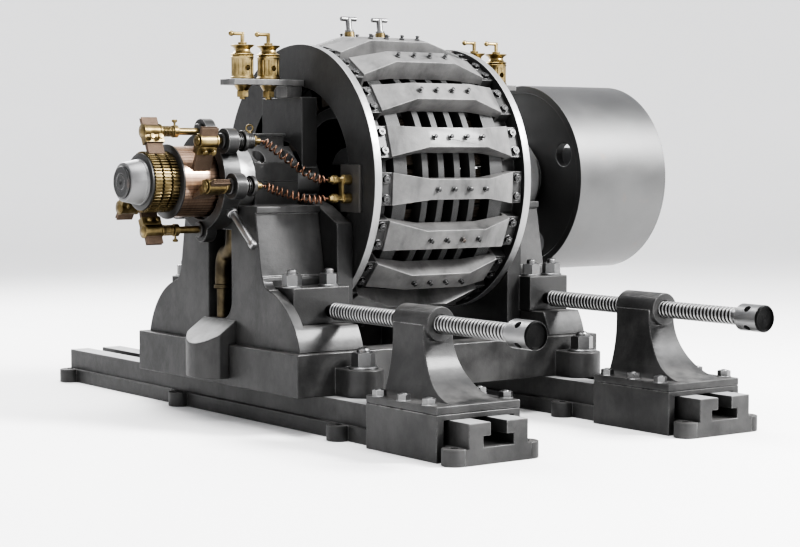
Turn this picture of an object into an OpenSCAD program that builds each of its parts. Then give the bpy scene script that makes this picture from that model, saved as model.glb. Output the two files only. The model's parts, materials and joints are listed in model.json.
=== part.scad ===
/* [Foundation rails] */
// Height of the shaft above the floor
shaft_h = 600; // [595:1:640]
// Distance between the centre lines of the two rails
rail_pitch = 690; // [684:1:700]
// Length of each rail
rail_l = 1910; // [1890:10:2100]
// Width over the two sliding strips of a rail
rail_w = 164; // [158:1:168]
// How far the foot flange stands out past the strips
rail_ledge = 10; // [6:1:12]
// Height of the foot flange
flange_h = 38; // [34:1:42]
// Height of the sliding face
rail_h = 92; // [88:1:100]
// Width of the T-slot's neck
slot_w = 44; // [40:1:48]
// Width of the T-slot's undercut
undercut_w = 84; // [80:1:90]
// Height of the T-slot's undercut
undercut_h = 24; // [22:1:28]
// Radius of a foundation bolt hole
ear_hole_r = 11; // [9:0.5:13]
// Radius of a foundation bolt ear
ear_r = 30; // [26:1:34]
// Distance of the middle ears from the shaft line, on the screw side
ear_near_y = 480; // [470:1:490]
// Distance of the middle ears from the shaft line, on the far side
ear_far_y = 275; // [250:1:300]

/* [Belt tension gear] */
// Width of a screw bracket
bracket_w = 234; // [228:1:240]
// Length of a screw bracket along its rail
bracket_l = 268; // [260:1:280]
// Distance from the shaft line to the bracket
bracket_y = 617; // [610:1:640]
// Thickness of the bracket's side skirts
skirt_t = 20; // [16:1:20]
// Clearance between a bracket's skirts and the rail's flange
skirt_gap = 5; // [3:1:8]
// Thickness of the saddle over the rail
saddle_t = 13; // [10:1:16]
// Thickness of the pedestal's foot plate
plate_t = 18; // [14:1:22]
// Outside radius of a tension screw
screw_r = 21; // [18:0.5:24]
// Pitch of the tension screw's thread
screw_pitch = 12; // [10:1:14]
// Depth of the tension screw's thread
thread_d = 3; // [2:0.5:3.5]
// Length of a tension screw's thread
thread_l = 698; // [640:1:720]
// Radius of a tension screw's head
screw_head_r = 32; // [30:1:40]
// Length of a tension screw's head
screw_head_l = 85; // [80:1:130]
// Radius of the nut boss
nut_boss_r = 40; // [36:1:44]
// Length of the nut boss
nut_boss_l = 135; // [125:1:145]
// Height of the screw above the foot block's underside
screw_rise = 32; // [30:1:40]

/* [Bed and pedestals] */
// Height of the bed
bed_h = 103; // [95:1:110]
// Half width of the bed across the shaft
bed_half_w = 392; // [388:1:396]
// Distance from the drum's middle to the bed's collector end
bed_front_x = 501; // [496:1:510]
// Distance from the drum's middle to the bed's pulley end
bed_rear_x = 440; // [434:1:450]
// Distance from the drum's middle to the front pedestal's face
pedestal_front_x = 480; // [476:1:482]
// Distance from the drum's middle to the rear pedestal's face
pedestal_rear_x = 417; // [414:1:425]
// Half width of a pedestal under its top slab
trunk_top_w = 172; // [166:1:176]
// Half width of a pedestal at its shoulders
trunk_low_w = 205; // [202:1:208]
// Radius of the pedestal's rounded flank
flank_r = 195; // [190:1:200]
// Thickness of the pedestal's top slab
slab_t = 16; // [12:1:20]
// Depth of the pedestal's top slab below the shaft
slab_drop = 60; // [58:1:64]
// Height of a foot block
foot_h = 90; // [84:1:96]
// Distance from the shaft line to a foot block's face
foot_half_w = 298; // [294:1:302]
// Height of the foot blocks above the bed
foot_rise = 60; // [56:1:66]
// Radius of the clamp bosses on the bed
clamp_boss_r = 48; // [44:1:50]
// Height of the clamp bosses
clamp_boss_h = 66; // [60:1:72]

/* [Stator drum] */
// Outside radius of the end rings
ring_r = 350; // [346:1:352]
// Radius of the opening in the end rings
ring_hole_r = 240; // [236:1:244]
// Thickness of an end ring's disc
ring_t = 22; // [18:1:26]
// Length of the drum over its end rings
drum_l = 494; // [490:1:498]
// Number of yoke bars round the drum
bar_n = 18; // [18]
// Lean of the top bar away from the tension screws
bar_lean = 7; // [4:1:10]
// Width of a bar at its ends
bar_end_w = 82; // [76:1:86]
// Width of a bar at its middle
bar_mid_w = 52; // [46:1:56]
// Thickness of a bar's end pad
pad_t = 36; // [32:1:38]
// Height of the bar's middle over its end pads
bar_rise = 31; // [26:1:36]
// Radius over the core hoops
hoop_r = 325; // [322:1:328]
// Radial depth of the core hoops
hoop_d = 37; // [34:1:40]
// Width of a narrow core hoop
hoop_w = 19; // [15:1:22]
// Width of a wide end hoop
wide_hoop_w = 41; // [36:1:44]
// Air gap between the poles and the core teeth
air_gap = 3; // [2:0.5:4]
// Radius over the magnet poles
pole_r = 255; // [253:1:256]

/* [Shaft line] */
// Radius of the shaft
shaft_r = 40; // [36:0.5:44]
// Radial running clearance of the bearings and pivots
run_gap = 0.05; // [0.02:0.01:0.09]
// Distance from the drum's middle to the collector end of the shaft
shaft_front_x = 757; // [752:1:770]
// Wall of a bearing bush
bush_wall = 15; // [12:1:18]
// Half width of a bearing cap
cap_half_w = 88; // [84:1:92]
// Height of the oil box over the shaft
oil_box_h = 120; // [114:1:128]
// Radius of the front bearing's snout
snout_r = 95; // [93:1:98]
// Radius of the rear bearing's boss
boss_r = 115; // [108:1:120]
// Radius of the pulley
pulley_r = 258; // [240:1:270]
// Width of the pulley
pulley_w = 314; // [290:1:330]
// Distance from the drum's middle to the pulley
pulley_x = 499; // [496:1:510]
// Thickness of the pulley's rim
pulley_rim_t = 20; // [16:1:24]
// Radius of the pulley's web holes
web_hole_r = 32; // [26:1:36]

/* [Collector end] */
// Radius of the commutator
commutator_r = 88; // [84:1:90]
// Length of the commutator
commutator_l = 110; // [104:1:112]
// Radius of the collector rings
collector_r = 75; // [72:1:78]
// Gap between a brush and the ring it bears on
brush_gap = 0.4; // [0.3:0.1:0.8]
// Thickness of the rocker ring
rocker_t = 27; // [24:1:30]
// Width of the rocker ring
rocker_w = 48; // [44:1:50]
// Radius of the brush studs
stud_r = 9; // [8:0.5:10]
// Radius of the curls of a spiral lead, to the wire's middle
curl_r = 9.5; // [8:0.5:11]
// Wire radius of a spiral lead
wire_r = 2.4; // [2:0.2:2.8]
// Number of curls in a spiral lead
curls = 13; // [10:1:13]

/* [Terminals] */
// Height of the terminal shelves over the shaft
shelf_rise = 257; // [252:1:262]
// Thickness of a terminal shelf
shelf_t = 15; // [12:1:18]
// Radius of a terminal post
post_r = 30; // [27:1:32]
// Height of a terminal post
post_h = 86; // [82:1:92]
// Radius of the wire hole through a terminal post
wire_hole_r = 7; // [5:0.5:8]
// Radius of a terminal's clamping screw
clamp_screw_r = 8; // [7:0.5:9]

/* [Hidden] */
iron = "dimgray";
dark = "darkslategray";
steel = "silver";
brass = "darkkhaki";
copper = "peru";
slate = "slategray";
smooth = 96;
bed_top = rail_h + bed_h;
foot_z = bed_top + foot_rise;
foot_top = foot_z + foot_h;
screw_z = foot_z + screw_rise;
flange_half_w = rail_w / 2 + rail_ledge;
ear_x = flange_half_w + 6;
rail_x = rail_pitch / 2;
ear_end_y = rail_l / 2 - ear_r;
ear_rows = [-ear_end_y, -ear_near_y, ear_far_y, ear_end_y];
saddle_z = rail_h + saddle_t;
plate_z = saddle_z + plate_t;
bracket_end_y = bracket_y + bracket_l;
bracket_bolt_r = 8;
bracket_bolt_end = 40;
bracket_bolt_depth = 38;
bracket_nut_w = 28;
bracket_nut_h = 18;
bracket_bolts_y = [for (k = [0:2])
    -bracket_y - bracket_bolt_end - k * (bracket_l - 2 * bracket_bolt_end) / 2];
skirt_x = flange_half_w + skirt_gap;
nut_boss_end_y = bracket_y + nut_boss_l - 5;
frame_t = 47;
ring_x = drum_l / 2;
frame_x = ring_x + frame_t;
foot_front_x = pedestal_front_x - 29;
slab_z = shaft_h - slab_drop;
bush_r = shaft_r + bush_wall;
bearing_x = 300;
bearing_front_x = 430;
bearing_rear_x = 410;
recess_w = 112;
recess_d = 50;
recess_bend_r = 48;
drip_half_w = 80;
drip_out = 62;
drip_lift = 18;
drip_bow_r = 110;
recess_floor = bed_top + 60;
recess_top = slab_z - slab_t - 45;
drain_r = 20;
drain_bend_r = drain_r + 3;
drain_shift = 56;
drain_top_l = 40;
drain_band = 12;
spout_r = 16;
spout_l = 72;
snout_x = pedestal_front_x + 35;
neck_r = 75;
foot_stud_r = 12;
foot_stud_depth = 45;
foot_stud_up = 44;
foot_washer_r = 27;
foot_washer_t = 5;
foot_nut_w = 42;
foot_nut_h = 28;
foot_stud_y = foot_half_w - 38;
front_studs_x = [-foot_front_x + 20, -frame_x - 29];
rear_studs_x = [frame_x + 29, pedestal_rear_x - 24];
cap_bolt_r = 7;
cap_seat_r = 15;
cap_bolt_depth = 40;
cap_nut_w = 22;
cap_nut_h = 16;
cap_bolt_y = cap_half_w - 16;
cap_seat_z = shaft_h + 35;
front_cap_bolts_x = [-bearing_front_x + 22, -bearing_x - 22];
rear_cap_bolts_x = [bearing_x + 22, bearing_rear_x - 22];
clamp_y = bed_half_w + clamp_boss_r;
clamp_neck_r = 16;
rim_r = ring_r - 5 - pad_t;
rim_t = 24;
rim_l = 42;
bar_half_l = ring_x - ring_t;
pad_r = rim_r + pad_t;
bar_foot_r = pad_r - 8;
bar_r = pad_r + bar_rise;
hoop_in_r = hoop_r - hoop_d;
hoop_pitch = 50;
hoops_x = [for (k = [0:3]) (k - 1.5) * hoop_pitch];
wide_hoop_x = 131;
wide_hoops_x = [-wide_hoop_x - wide_hoop_w / 2, wide_hoop_x + wide_hoop_w / 2];
tooth_in_r = pole_r + air_gap;
tooth_half_l = 150;
tooth_w = 28;
coil_w = 88;
coil_end = 28;
coil_r = hoop_in_r - 5;
bar_bolt_r = 5;
bar_nut_w = 19;
bar_nut_h = 11;
bar_screw_r = 3.5;
bar_collar_r = 7;
bar_collar_h = 4;
bar_pin_r = 5;
bar_pin_h = 9;
wheel_r = 190;
pole_neck_r = 232;
pole_w = 30;
pole_half_l = 125;
hub_r = 85;
web_inset = 4;
web_t = 26;
web_hole_out = 30;
web_hole_turn = 70;
commutator_x = snout_x + 4;
collector_x = commutator_x + commutator_l;
collector_pitch = 24;
collector_groove = 5;
collector_end_x = collector_x + 3 * collector_pitch;
rocker_x = snout_x + 20;
rocker_in_r = snout_r + run_gap;
rocker_out_r = rocker_in_r + rocker_t;
lobe_r = 32;
lobe_l = 30;
bush_t = 5;
bush_flange = 8;
spool_r = 20;
spool_l = 22;
spool_cap = 10;
spool_cap_r = 26;
top_stud = [0, 124];
low_stud = [0, -120];
upper_stud = [-112, 100];
side_stud = [-150, -10];
far_stud = [125, -66];
studs = [top_stud, low_stud, far_stud, upper_stud, side_stud];
sleeve_r = stud_r + 8;
brush_lean = 24;
brush_t = 14;
brush_inset = 3;
brush_tail = 36;
commutator_brush_w = 52;
commutator_brush_end = 34;
stud_nose = 8;
ring_brush_w = 50;
lead_plate_t = 8;
lead_studs = [[-251, 5], [-251, -41]];
lead_stud_end_x = ring_x + lead_plate_t + 62;
shelf_l = 208;
shelf_half_w = 35;
lug_h = 30;
wire_z = 28;
post_tail = 36;
post_nut_w = 28;
post_nut_h = 15;
post_cup_h = 16;
post_cup_r = clamp_screw_r + 14;
post_inset = 86;
post_pitch = 77;
posts_x = [ring_x + post_inset, ring_x + post_inset + post_pitch];
upper_stud_tail = 52;
side_stud_tail = 32;
bush_end_x = [pedestal_front_x - upper_stud_tail, pedestal_front_x - side_stud_tail];
t_screws_x = [-50, 50];
handle_boss_r = 14;
handle_boss_h = 16;
handle_r = 8.5;
lead_rings = 8;
brush_stud_x = commutator_x + commutator_brush_end + commutator_brush_w + stud_nose;
stud_spans = [[top_stud, collector_end_x, rocker_x - lobe_l], [low_stud, collector_end_x, rocker_x - lobe_l],
    [far_stud, collector_end_x, rocker_x - lobe_l], [upper_stud, brush_stud_x, bush_end_x[0]],
    [side_stud, brush_stud_x, bush_end_x[1]]];
upper_lead_from = [-bush_end_x[0], upper_stud[0], shaft_h + upper_stud[1]];
lower_lead_from = [-bush_end_x[1], side_stud[0], shaft_h + side_stud[1]];
upper_lead_to = [-lead_stud_end_x, lead_studs[0][0], shaft_h + lead_studs[0][1]];
lower_lead_to = [-lead_stud_end_x, lead_studs[1][0], shaft_h + lead_studs[1][1]];
shaft_rear_x = pulley_x + pulley_w + 7;

// A cylinder along X, from x0, centred on the point [y, z]
module rod_x(x0, l, r, at = [0, shaft_h]) {
    translate([x0, at[0], at[1]])
        rotate([0, 90, 0])
            cylinder(r = r, h = l, $fn = smooth);
}

// A body turned about the shaft line from [radius, x] points
module turned(points) {
    translate([0, 0, shaft_h])
        rotate([0, 90, 0])
            rotate_extrude($fn = smooth)
                polygon(points);
}

// A ring about the shaft line
module ring_x_body(x0, l, r_in, r_out) {
    turned([[r_in, x0], [r_out, x0], [r_out, x0 + l], [r_in, x0 + l]]);
}

// A [y, z] outline drawn out along X from x0
module section_x(x0, l) {
    translate([x0, 0, 0])
        rotate([90, 0, 90])
            linear_extrude(l)
                children();
}

// An [x, z] outline drawn out along Y from y0
module section_y(y0, l) {
    translate([0, y0 + l, 0])
        rotate([90, 0, 0])
            linear_extrude(l)
                children();
}

// A box from one corner to the other
module span(a, b) {
    translate(a)
        cube(b - a);
}

// Copies round the shaft line, with +Z of a copy pointing outward
module round_shaft(first, step) {
    translate([0, 0, shaft_h])
        for (k = [0:bar_n - 1])
            rotate([first + k * step, 0, 0])
                children();
}

// A hexagon nut standing on the origin
module hex(across, h) {
    cylinder(r = across / sqrt(3), h = h, $fn = 6);
}

module rail() {
    difference() {
        union() {
            span([-flange_half_w, -rail_l / 2, 0], [flange_half_w, rail_l / 2, flange_h]);
            span([-rail_w / 2, -rail_l / 2, flange_h - 1], [rail_w / 2, rail_l / 2, rail_h]);
            for (side = [-1, 1], y = ear_rows) {
                translate([side * ear_x, y, 0])
                    cylinder(r = ear_r, h = flange_h, $fn = smooth);
            }
        }
        span([-slot_w / 2, -rail_l / 2 - 1, flange_h], [slot_w / 2, rail_l / 2 + 1, rail_h + 1]);
        span([-undercut_w / 2, -rail_l / 2 - 1, flange_h],
            [undercut_w / 2, rail_l / 2 + 1, flange_h + undercut_h]);
        for (side = [-1, 1], y = ear_rows) {
            translate([side * ear_x, y, -1])
                cylinder(r = ear_hole_r, h = flange_h + 2, $fn = smooth);
        }
    }
}

module left_rail() {
    color(iron)
        translate([-rail_x, 0, 0])
            rail();
}

module right_rail() {
    color(iron)
        translate([rail_x, 0, 0])
            rail();
}

module bracket_bolt_places() {
    for (x = [-rail_x, rail_x], side = [-1, 1], y = bracket_bolts_y) {
        translate([x + side * (bracket_w / 2 - skirt_t / 2), y, 0])
            children();
    }
}

// Saddles that straddle the rails and carry the screw pedestals
module bracket_bases() {
    color(iron)
        difference() {
            for (x = [-rail_x, rail_x]) {
                span([x - bracket_w / 2, -bracket_end_y, rail_h], [x + bracket_w / 2, -bracket_y, saddle_z]);
                span([x - skirt_x - skirt_t, -bracket_end_y, 0], [x - skirt_x, -bracket_y, saddle_z]);
                span([x + skirt_x, -bracket_end_y, 0], [x + skirt_x + skirt_t, -bracket_y, saddle_z]);
            }
            bracket_bolt_places()
                translate([0, 0, saddle_z - bracket_bolt_depth])
                    cylinder(r = bracket_bolt_r, h = bracket_bolt_depth + 1, $fn = 48);
        }
}

// Pedestals with flared flanks that hold the screw nuts
module screw_pedestal() {
    flare_r = 150;
    neck_half_w = nut_boss_r + 2;
    neck_z = screw_z - 30;
    side_flare = 26;
    side_r = (pow(neck_z - plate_z, 2) + pow(side_flare, 2)) / (2 * side_flare);
    near_y = -nut_boss_end_y + 12;
    difference() {
        union() {
            span([-bracket_w / 2, -bracket_end_y, saddle_z], [bracket_w / 2, -bracket_y, plate_z]);
            intersection() {
                section_x(-bracket_w, 2 * bracket_w)
                    difference() {
                        translate([-bracket_end_y + 8, plate_z - 1])
                            square([bracket_l - 8, screw_z - plate_z]);
                        translate([near_y - flare_r, plate_z + flare_r])
                            circle(r = flare_r, $fn = smooth);
                        translate([near_y - 2 * flare_r, plate_z + flare_r])
                            square([2 * flare_r, flare_r]);
                    }
                section_y(-bracket_end_y - 1, bracket_l + 2)
                    difference() {
                        translate([-neck_half_w - side_flare - 5, plate_z - 1])
                            square([2 * (neck_half_w + side_flare + 5), screw_z - plate_z]);
                        for (side = [-1, 1]) {
                            translate([side * (neck_half_w + side_r), neck_z])
                                circle(r = side_r, $fn = 2 * smooth);
                            translate([side * (neck_half_w + side_r), neck_z + side_r / 2])
                                square([2 * side_r, side_r], center = true);
                        }
                    }
            }
            translate([0, -bracket_y + 5, screw_z])
                rotate([90, 0, 0])
                    cylinder(r = nut_boss_r, h = nut_boss_l, $fn = smooth);
        }
        translate([0, -bracket_y + 6, screw_z])
            rotate([90, 0, 0])
                cylinder(r = screw_r + run_gap, h = bracket_l + 20, $fn = smooth);
    }
}

module screw_pedestals() {
    color(iron)
        difference() {
            for (x = [-rail_x, rail_x]) {
                translate([x, 0, 0])
                    screw_pedestal();
            }
            bracket_bolt_places()
                translate([0, 0, saddle_z - 1])
                    cylinder(r = bracket_bolt_r, h = plate_t + 2, $fn = 48);
        }
}

module bracket_bolts() {
    color(steel)
        bracket_bolt_places() {
            translate([0, 0, saddle_z - bracket_bolt_depth])
                cylinder(r = bracket_bolt_r, h = plate_t + bracket_bolt_depth + 1, $fn = 48);
            translate([0, 0, plate_z])
                hex(bracket_nut_w, bracket_nut_h);
        }
}

// Bed casting with a pit for the drum and bosses for the clamp bolts
module bed() {
    pit_half_l = ring_x - 12;
    pit_half_w = bed_half_w - 90;
    color(dark)
        difference() {
            union() {
                span([-bed_front_x, -bed_half_w, rail_h], [bed_rear_x, bed_half_w, bed_top]);
                for (x = [-rail_x, rail_x], side = [-1, 1]) {
                    translate([x, side * clamp_y, rail_h])
                        cylinder(r = clamp_boss_r, h = clamp_boss_h, $fn = smooth);
                    translate([x - clamp_boss_r, side * (clamp_y + bed_half_w) / 2, rail_h])
                        translate([0, -clamp_boss_r / 2, 0])
                            cube([2 * clamp_boss_r, clamp_boss_r, clamp_boss_h]);
                }
            }
            span([-pit_half_l, -pit_half_w, rail_h - 1], [pit_half_l, pit_half_w, bed_top + 1]);
            for (x = [-rail_x, rail_x], side = [-1, 1]) {
                translate([x, side * clamp_y, rail_h - 1])
                    cylinder(r = clamp_neck_r, h = clamp_boss_h + 2, $fn = 48);
            }
        }
}

// T-bolts through the bed's bosses, each with its washer and nut
module clamp_bolts() {
    boss_top = rail_h + clamp_boss_h;
    head_top = flange_h + undercut_h;
    head_w = undercut_w - 10;
    color(steel)
        for (x = [-rail_x, rail_x], side = [-1, 1]) {
            translate([x, side * clamp_y, 0]) {
                translate([-head_w / 2, -head_w / 2, head_top - 18])
                    cube([head_w, head_w, 18]);
                translate([0, 0, head_top - 1])
                    cylinder(r = clamp_neck_r, h = boss_top + 52 - head_top, $fn = 48);
                translate([0, 0, boss_top])
                    cylinder(r = 36, h = 6, $fn = 48);
                translate([0, 0, boss_top + 5])
                    hex(50, 35);
            }
        }
}

// Outline of a pedestal across the shaft, up to its top slab
module pedestal_outline() {
    flank_z = bed_top - 45;
    fillet_r = 30;
    flank_top = flank_z + flank_r;
    polygon([[-trunk_low_w, flank_top - 5], [trunk_low_w, flank_top - 5],
        [trunk_top_w, slab_z - slab_t], [-trunk_top_w, slab_z - slab_t]]);
    intersection() {
        union() {
            for (side = [-1, 1]) {
                translate([side * (trunk_low_w - 25), flank_z])
                    circle(r = flank_r, $fn = 128);
            }
            translate([-trunk_low_w + 25, flank_z])
                square([2 * trunk_low_w - 50, flank_r]);
        }
        translate([-bed_half_w, bed_top])
            square([2 * bed_half_w, flank_top - bed_top + 1]);
    }
    for (side = [-1, 1]) {
        difference() {
            translate([side * (trunk_low_w + fillet_r / 2 - 6), flank_top + fillet_r / 2 - 9])
                square([fillet_r + 8, fillet_r + 6], center = true);
            translate([side * (trunk_low_w + fillet_r - 2), flank_top + fillet_r - 6])
                circle(r = fillet_r, $fn = 64);
        }
    }
}

// A pedestal between two X planes, with the seat of its bearing
module pedestal(x0, x1, block_x0, block_x1) {
    difference() {
        union() {
            section_x(x0, x1 - x0)
                pedestal_outline();
            span([x0, -trunk_top_w - 8, slab_z - slab_t - 1], [x1, trunk_top_w + 8, slab_z]);
        }
        for (side = [-1, 1]) {
            span([block_x0, min(side * trunk_low_w, side * bed_half_w), foot_z],
                [block_x1, max(side * trunk_low_w, side * bed_half_w), foot_top + 45]);
        }
    }
}

module bearing_block(x0, x1) {
    span([x0, -cap_half_w, slab_z - 1], [x1, cap_half_w, shaft_h]);
}

module stud_holes(rows) {
    for (x = rows, side = [-1, 1]) {
        translate([x, side * foot_stud_y, foot_z - foot_stud_depth])
            cylinder(r = foot_stud_r, h = foot_h + foot_stud_depth + 5, $fn = 48);
    }
}

module cap_bolt_holes(rows) {
    for (x = rows, side = [-1, 1]) {
        translate([x, side * cap_bolt_y, shaft_h - cap_bolt_depth])
            cylinder(r = cap_bolt_r, h = cap_bolt_depth + cap_half_w, $fn = 48);
        translate([x, side * cap_bolt_y, cap_seat_z])
            cylinder(r = cap_seat_r, h = cap_half_w, $fn = 48);
    }
}

// Opening of the drain's recess, with one round corner at its foot
module recess_outline() {
    corner = [-recess_w / 2 + recess_bend_r, recess_floor + recess_bend_r];
    translate([-recess_w / 2, corner[1]])
        square([recess_w, recess_top - corner[1]]);
    translate([corner[0], recess_floor])
        square([recess_w - recess_bend_r, recess_bend_r + 1]);
    translate(corner)
        circle(r = recess_bend_r, $fn = smooth);
}

module front_pedestal() {
    color(dark)
        difference() {
            union() {
                pedestal(-pedestal_front_x, -frame_x, -foot_front_x, -frame_x + 1);
                bearing_block(-bearing_front_x, -bearing_x);
            }
            rod_x(-pedestal_front_x - 1, pedestal_front_x - bearing_front_x + 1, snout_r);
            rod_x(-bearing_front_x - 1, bearing_front_x, bush_r);
            section_x(-pedestal_front_x - 1, recess_d + 1)
                recess_outline();
            stud_holes(front_studs_x);
            cap_bolt_holes(front_cap_bolts_x);
        }
}

module rear_pedestal() {
    color(dark)
        difference() {
            union() {
                pedestal(frame_x, pedestal_rear_x, frame_x - 1, pedestal_rear_x + 1);
                bearing_block(bearing_x, bearing_rear_x);
            }
            rod_x(bearing_rear_x, pedestal_rear_x, boss_r);
            rod_x(frame_x - 1, bearing_rear_x, bush_r);
            stud_holes(rear_studs_x);
            cap_bolt_holes(rear_cap_bolts_x);
        }
}

// Plate that carries the drum, with its foot blocks on the pedestal's shoulders
module end_frame(block_x1) {
    post_half_w = 95;
    frame_half_w = 254;
    post_top = shelf_rise - shelf_t - lug_h;
    difference() {
        union() {
            section_x(ring_x, frame_t)
                translate([0, shaft_h])
                    polygon([for (side = [-1, 1]) each let (p = [
                        [post_half_w, post_top], [post_half_w, -43], [167, -61], [frame_half_w, -104],
                        [frame_half_w, bed_top - shaft_h]])
                        [for (k = [0:4]) let (q = p[side < 0 ? 4 - k : k]) [-side * q[0], q[1]]]]);
            for (side = [-1, 1]) {
                span([frame_x - 6, min(side * trunk_low_w, side * foot_half_w), foot_z],
                    [block_x1, max(side * trunk_low_w, side * foot_half_w), foot_top]);
            }
        }
        rod_x(ring_x - 1, frame_t + 2, neck_r + 25);
    }
}

module front_end_frame() {
    color(iron)
        difference() {
            mirror([1, 0, 0])
                end_frame(foot_front_x);
            stud_holes(front_studs_x);
        }
}

module rear_end_frame() {
    color(iron)
        difference() {
            end_frame(pedestal_rear_x);
            stud_holes(rear_studs_x);
        }
}

// Studs with their nuts, which hold the end frames down
module foot_bolts() {
    color(steel)
        for (x = concat(front_studs_x, rear_studs_x), side = [-1, 1]) {
            translate([x, side * foot_stud_y, 0]) {
                translate([0, 0, foot_z - foot_stud_depth])
                    cylinder(r = foot_stud_r, h = foot_h + foot_stud_depth + foot_stud_up, $fn = 48);
                translate([0, 0, foot_top])
                    cylinder(r = foot_washer_r, h = foot_washer_t, $fn = 48);
                translate([0, 0, foot_top + foot_washer_t - 1])
                    hex(foot_nut_w, foot_nut_h);
            }
        }
}

// End ring with the rim that the bars are bolted to
module end_ring() {
    turned([[ring_hole_r, ring_x - ring_t], [rim_r - rim_t, ring_x - ring_t],
        [rim_r - rim_t, bar_half_l - rim_l], [rim_r, bar_half_l - rim_l], [rim_r, ring_x - ring_t],
        [ring_r, ring_x - ring_t], [ring_r, ring_x], [ring_hole_r, ring_x]]);
}

module bar_bolt_places() {
    round_shaft(-bar_lean, 360 / bar_n)
        for (end = [-1, 1], side = [-1, 1]) {
            translate([end * (bar_half_l - 18), side * (bar_end_w / 2 - 17), 0])
                children();
        }
}

module bar_screw_places() {
    round_shaft(-bar_lean, 360 / bar_n)
        for (x = hoops_x) {
            translate([x, 0, 0])
                children();
        }
}

module bar_bolt_holes() {
    bar_bolt_places()
        translate([0, 0, rim_r - 14])
            cylinder(r = bar_bolt_r, h = 100, $fn = 24);
}

module front_ring() {
    color(iron)
        difference() {
            mirror([1, 0, 0])
                end_ring();
            bar_bolt_holes();
        }
}

module rear_ring() {
    color(iron)
        difference() {
            end_ring();
            bar_bolt_holes();
        }
}

// One bar, outward along +Z, before its underside is bored to the hoops
module bar_blank() {
    mid_half_l = 92;
    slope_end = bar_half_l - 35;
    intersection() {
        section_y(-bar_end_w, 2 * bar_end_w)
            polygon([[-bar_half_l, rim_r - 20], [bar_half_l, rim_r - 20], [bar_half_l, bar_foot_r],
                [slope_end, bar_foot_r], [slope_end, pad_r], [mid_half_l, bar_r], [-mid_half_l, bar_r],
                [-slope_end, pad_r], [-slope_end, bar_foot_r], [-bar_half_l, bar_foot_r]]);
        linear_extrude(bar_r + 10)
            polygon([[-bar_half_l, -bar_end_w / 2], [-slope_end, -bar_end_w / 2],
                [-mid_half_l, -bar_mid_w / 2], [mid_half_l, -bar_mid_w / 2],
                [slope_end, -bar_end_w / 2], [bar_half_l, -bar_end_w / 2],
                [bar_half_l, bar_end_w / 2], [slope_end, bar_end_w / 2],
                [mid_half_l, bar_mid_w / 2], [-mid_half_l, bar_mid_w / 2],
                [-slope_end, bar_end_w / 2], [-bar_half_l, bar_end_w / 2]]);
    }
}

module stator_bars() {
    bore_half_l = bar_half_l - rim_l - 1;
    color(iron)
        difference() {
            round_shaft(-bar_lean, 360 / bar_n)
                bar_blank();
            ring_x_body(-bar_half_l - 1, 2 * bar_half_l + 2, rim_r - 40, rim_r);
            ring_x_body(-bore_half_l, 2 * bore_half_l, rim_r - 40, hoop_r);
            bar_bolt_holes();
            bar_screw_places()
                translate([0, 0, hoop_r + 8])
                    cylinder(r = bar_screw_r, h = 80, $fn = 24);
        }
}

module bar_bolts() {
    color(steel)
        bar_bolt_places() {
            translate([0, 0, rim_r - 14])
                cylinder(r = bar_bolt_r, h = bar_foot_r - rim_r + 15, $fn = 24);
            translate([0, 0, bar_foot_r])
                hex(bar_nut_w, bar_nut_h);
        }
}

module bar_screws() {
    color(steel)
        bar_screw_places() {
            translate([0, 0, hoop_r + 8])
                cylinder(r = bar_screw_r, h = bar_r - hoop_r - 7, $fn = 24);
            translate([0, 0, bar_r])
                cylinder(r = bar_collar_r, h = bar_collar_h, $fn = 24);
            translate([0, 0, bar_r + bar_collar_h - 1])
                cylinder(r = bar_pin_r, h = bar_pin_h, $fn = 24);
        }
}

module core_hoops() {
    color(slate) {
        for (x = hoops_x) {
            ring_x_body(x - hoop_w / 2, hoop_w, hoop_in_r, hoop_r);
        }
        for (x = wide_hoops_x) {
            ring_x_body(x - wide_hoop_w / 2, wide_hoop_w, hoop_in_r, hoop_r);
        }
    }
}

module core_teeth() {
    color(slate)
        difference() {
            intersection() {
                round_shaft(-bar_lean, 360 / bar_n)
                    span([-tooth_half_l, -tooth_w / 2, tooth_in_r - 10], [tooth_half_l, tooth_w / 2, hoop_r]);
                rod_x(-ring_x, 2 * ring_x, hoop_in_r);
            }
            rod_x(-ring_x, 2 * ring_x, tooth_in_r);
        }
}

// Flat coils with round ends, one on each tooth
module armature_coils() {
    corner_r = 20;
    color(copper)
        round_shaft(-bar_lean, 360 / bar_n)
            translate([0, 0, coil_r - 20])
                linear_extrude(20)
                    difference() {
                        union() {
                            square([2 * (tooth_half_l + coil_end), coil_w - 2 * corner_r], center = true);
                            square([2 * (tooth_half_l + coil_end - corner_r), coil_w], center = true);
                            for (x = [-1, 1], y = [-1, 1]) {
                                translate([x * (tooth_half_l + coil_end - corner_r),
                                    y * (coil_w / 2 - corner_r)])
                                    circle(r = corner_r, $fn = 32);
                            }
                        }
                        square([2 * tooth_half_l, tooth_w], center = true);
                    }
}

// Eight-sided cap with its oil box
module bearing_cap(x0, x1) {
    corner = 2 * cap_half_w * (1 - 1 / sqrt(2)) * 0.8;
    section_x(x0, x1 - x0)
        translate([0, shaft_h])
            polygon([[-cap_half_w, 0], [cap_half_w, 0], [cap_half_w, cap_half_w - corner],
                [cap_half_w - corner, cap_half_w], [corner - cap_half_w, cap_half_w],
                [-cap_half_w, cap_half_w - corner]]);
    span([x0 + 33, -cap_half_w + corner, shaft_h + cap_half_w - 1],
        [x1 - 17, cap_half_w - corner, shaft_h + oil_box_h - 6]);
    span([x0 + 29, -cap_half_w + corner - 4, shaft_h + oil_box_h - 7],
        [x1 - 13, cap_half_w - corner + 4, shaft_h + oil_box_h]);
}

module front_bearing_cap() {
    color(dark)
        difference() {
            bearing_cap(-bearing_front_x, -bearing_x);
            rod_x(-bearing_front_x - 1, bearing_front_x, bush_r);
            cap_bolt_holes(front_cap_bolts_x);
        }
}

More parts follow.
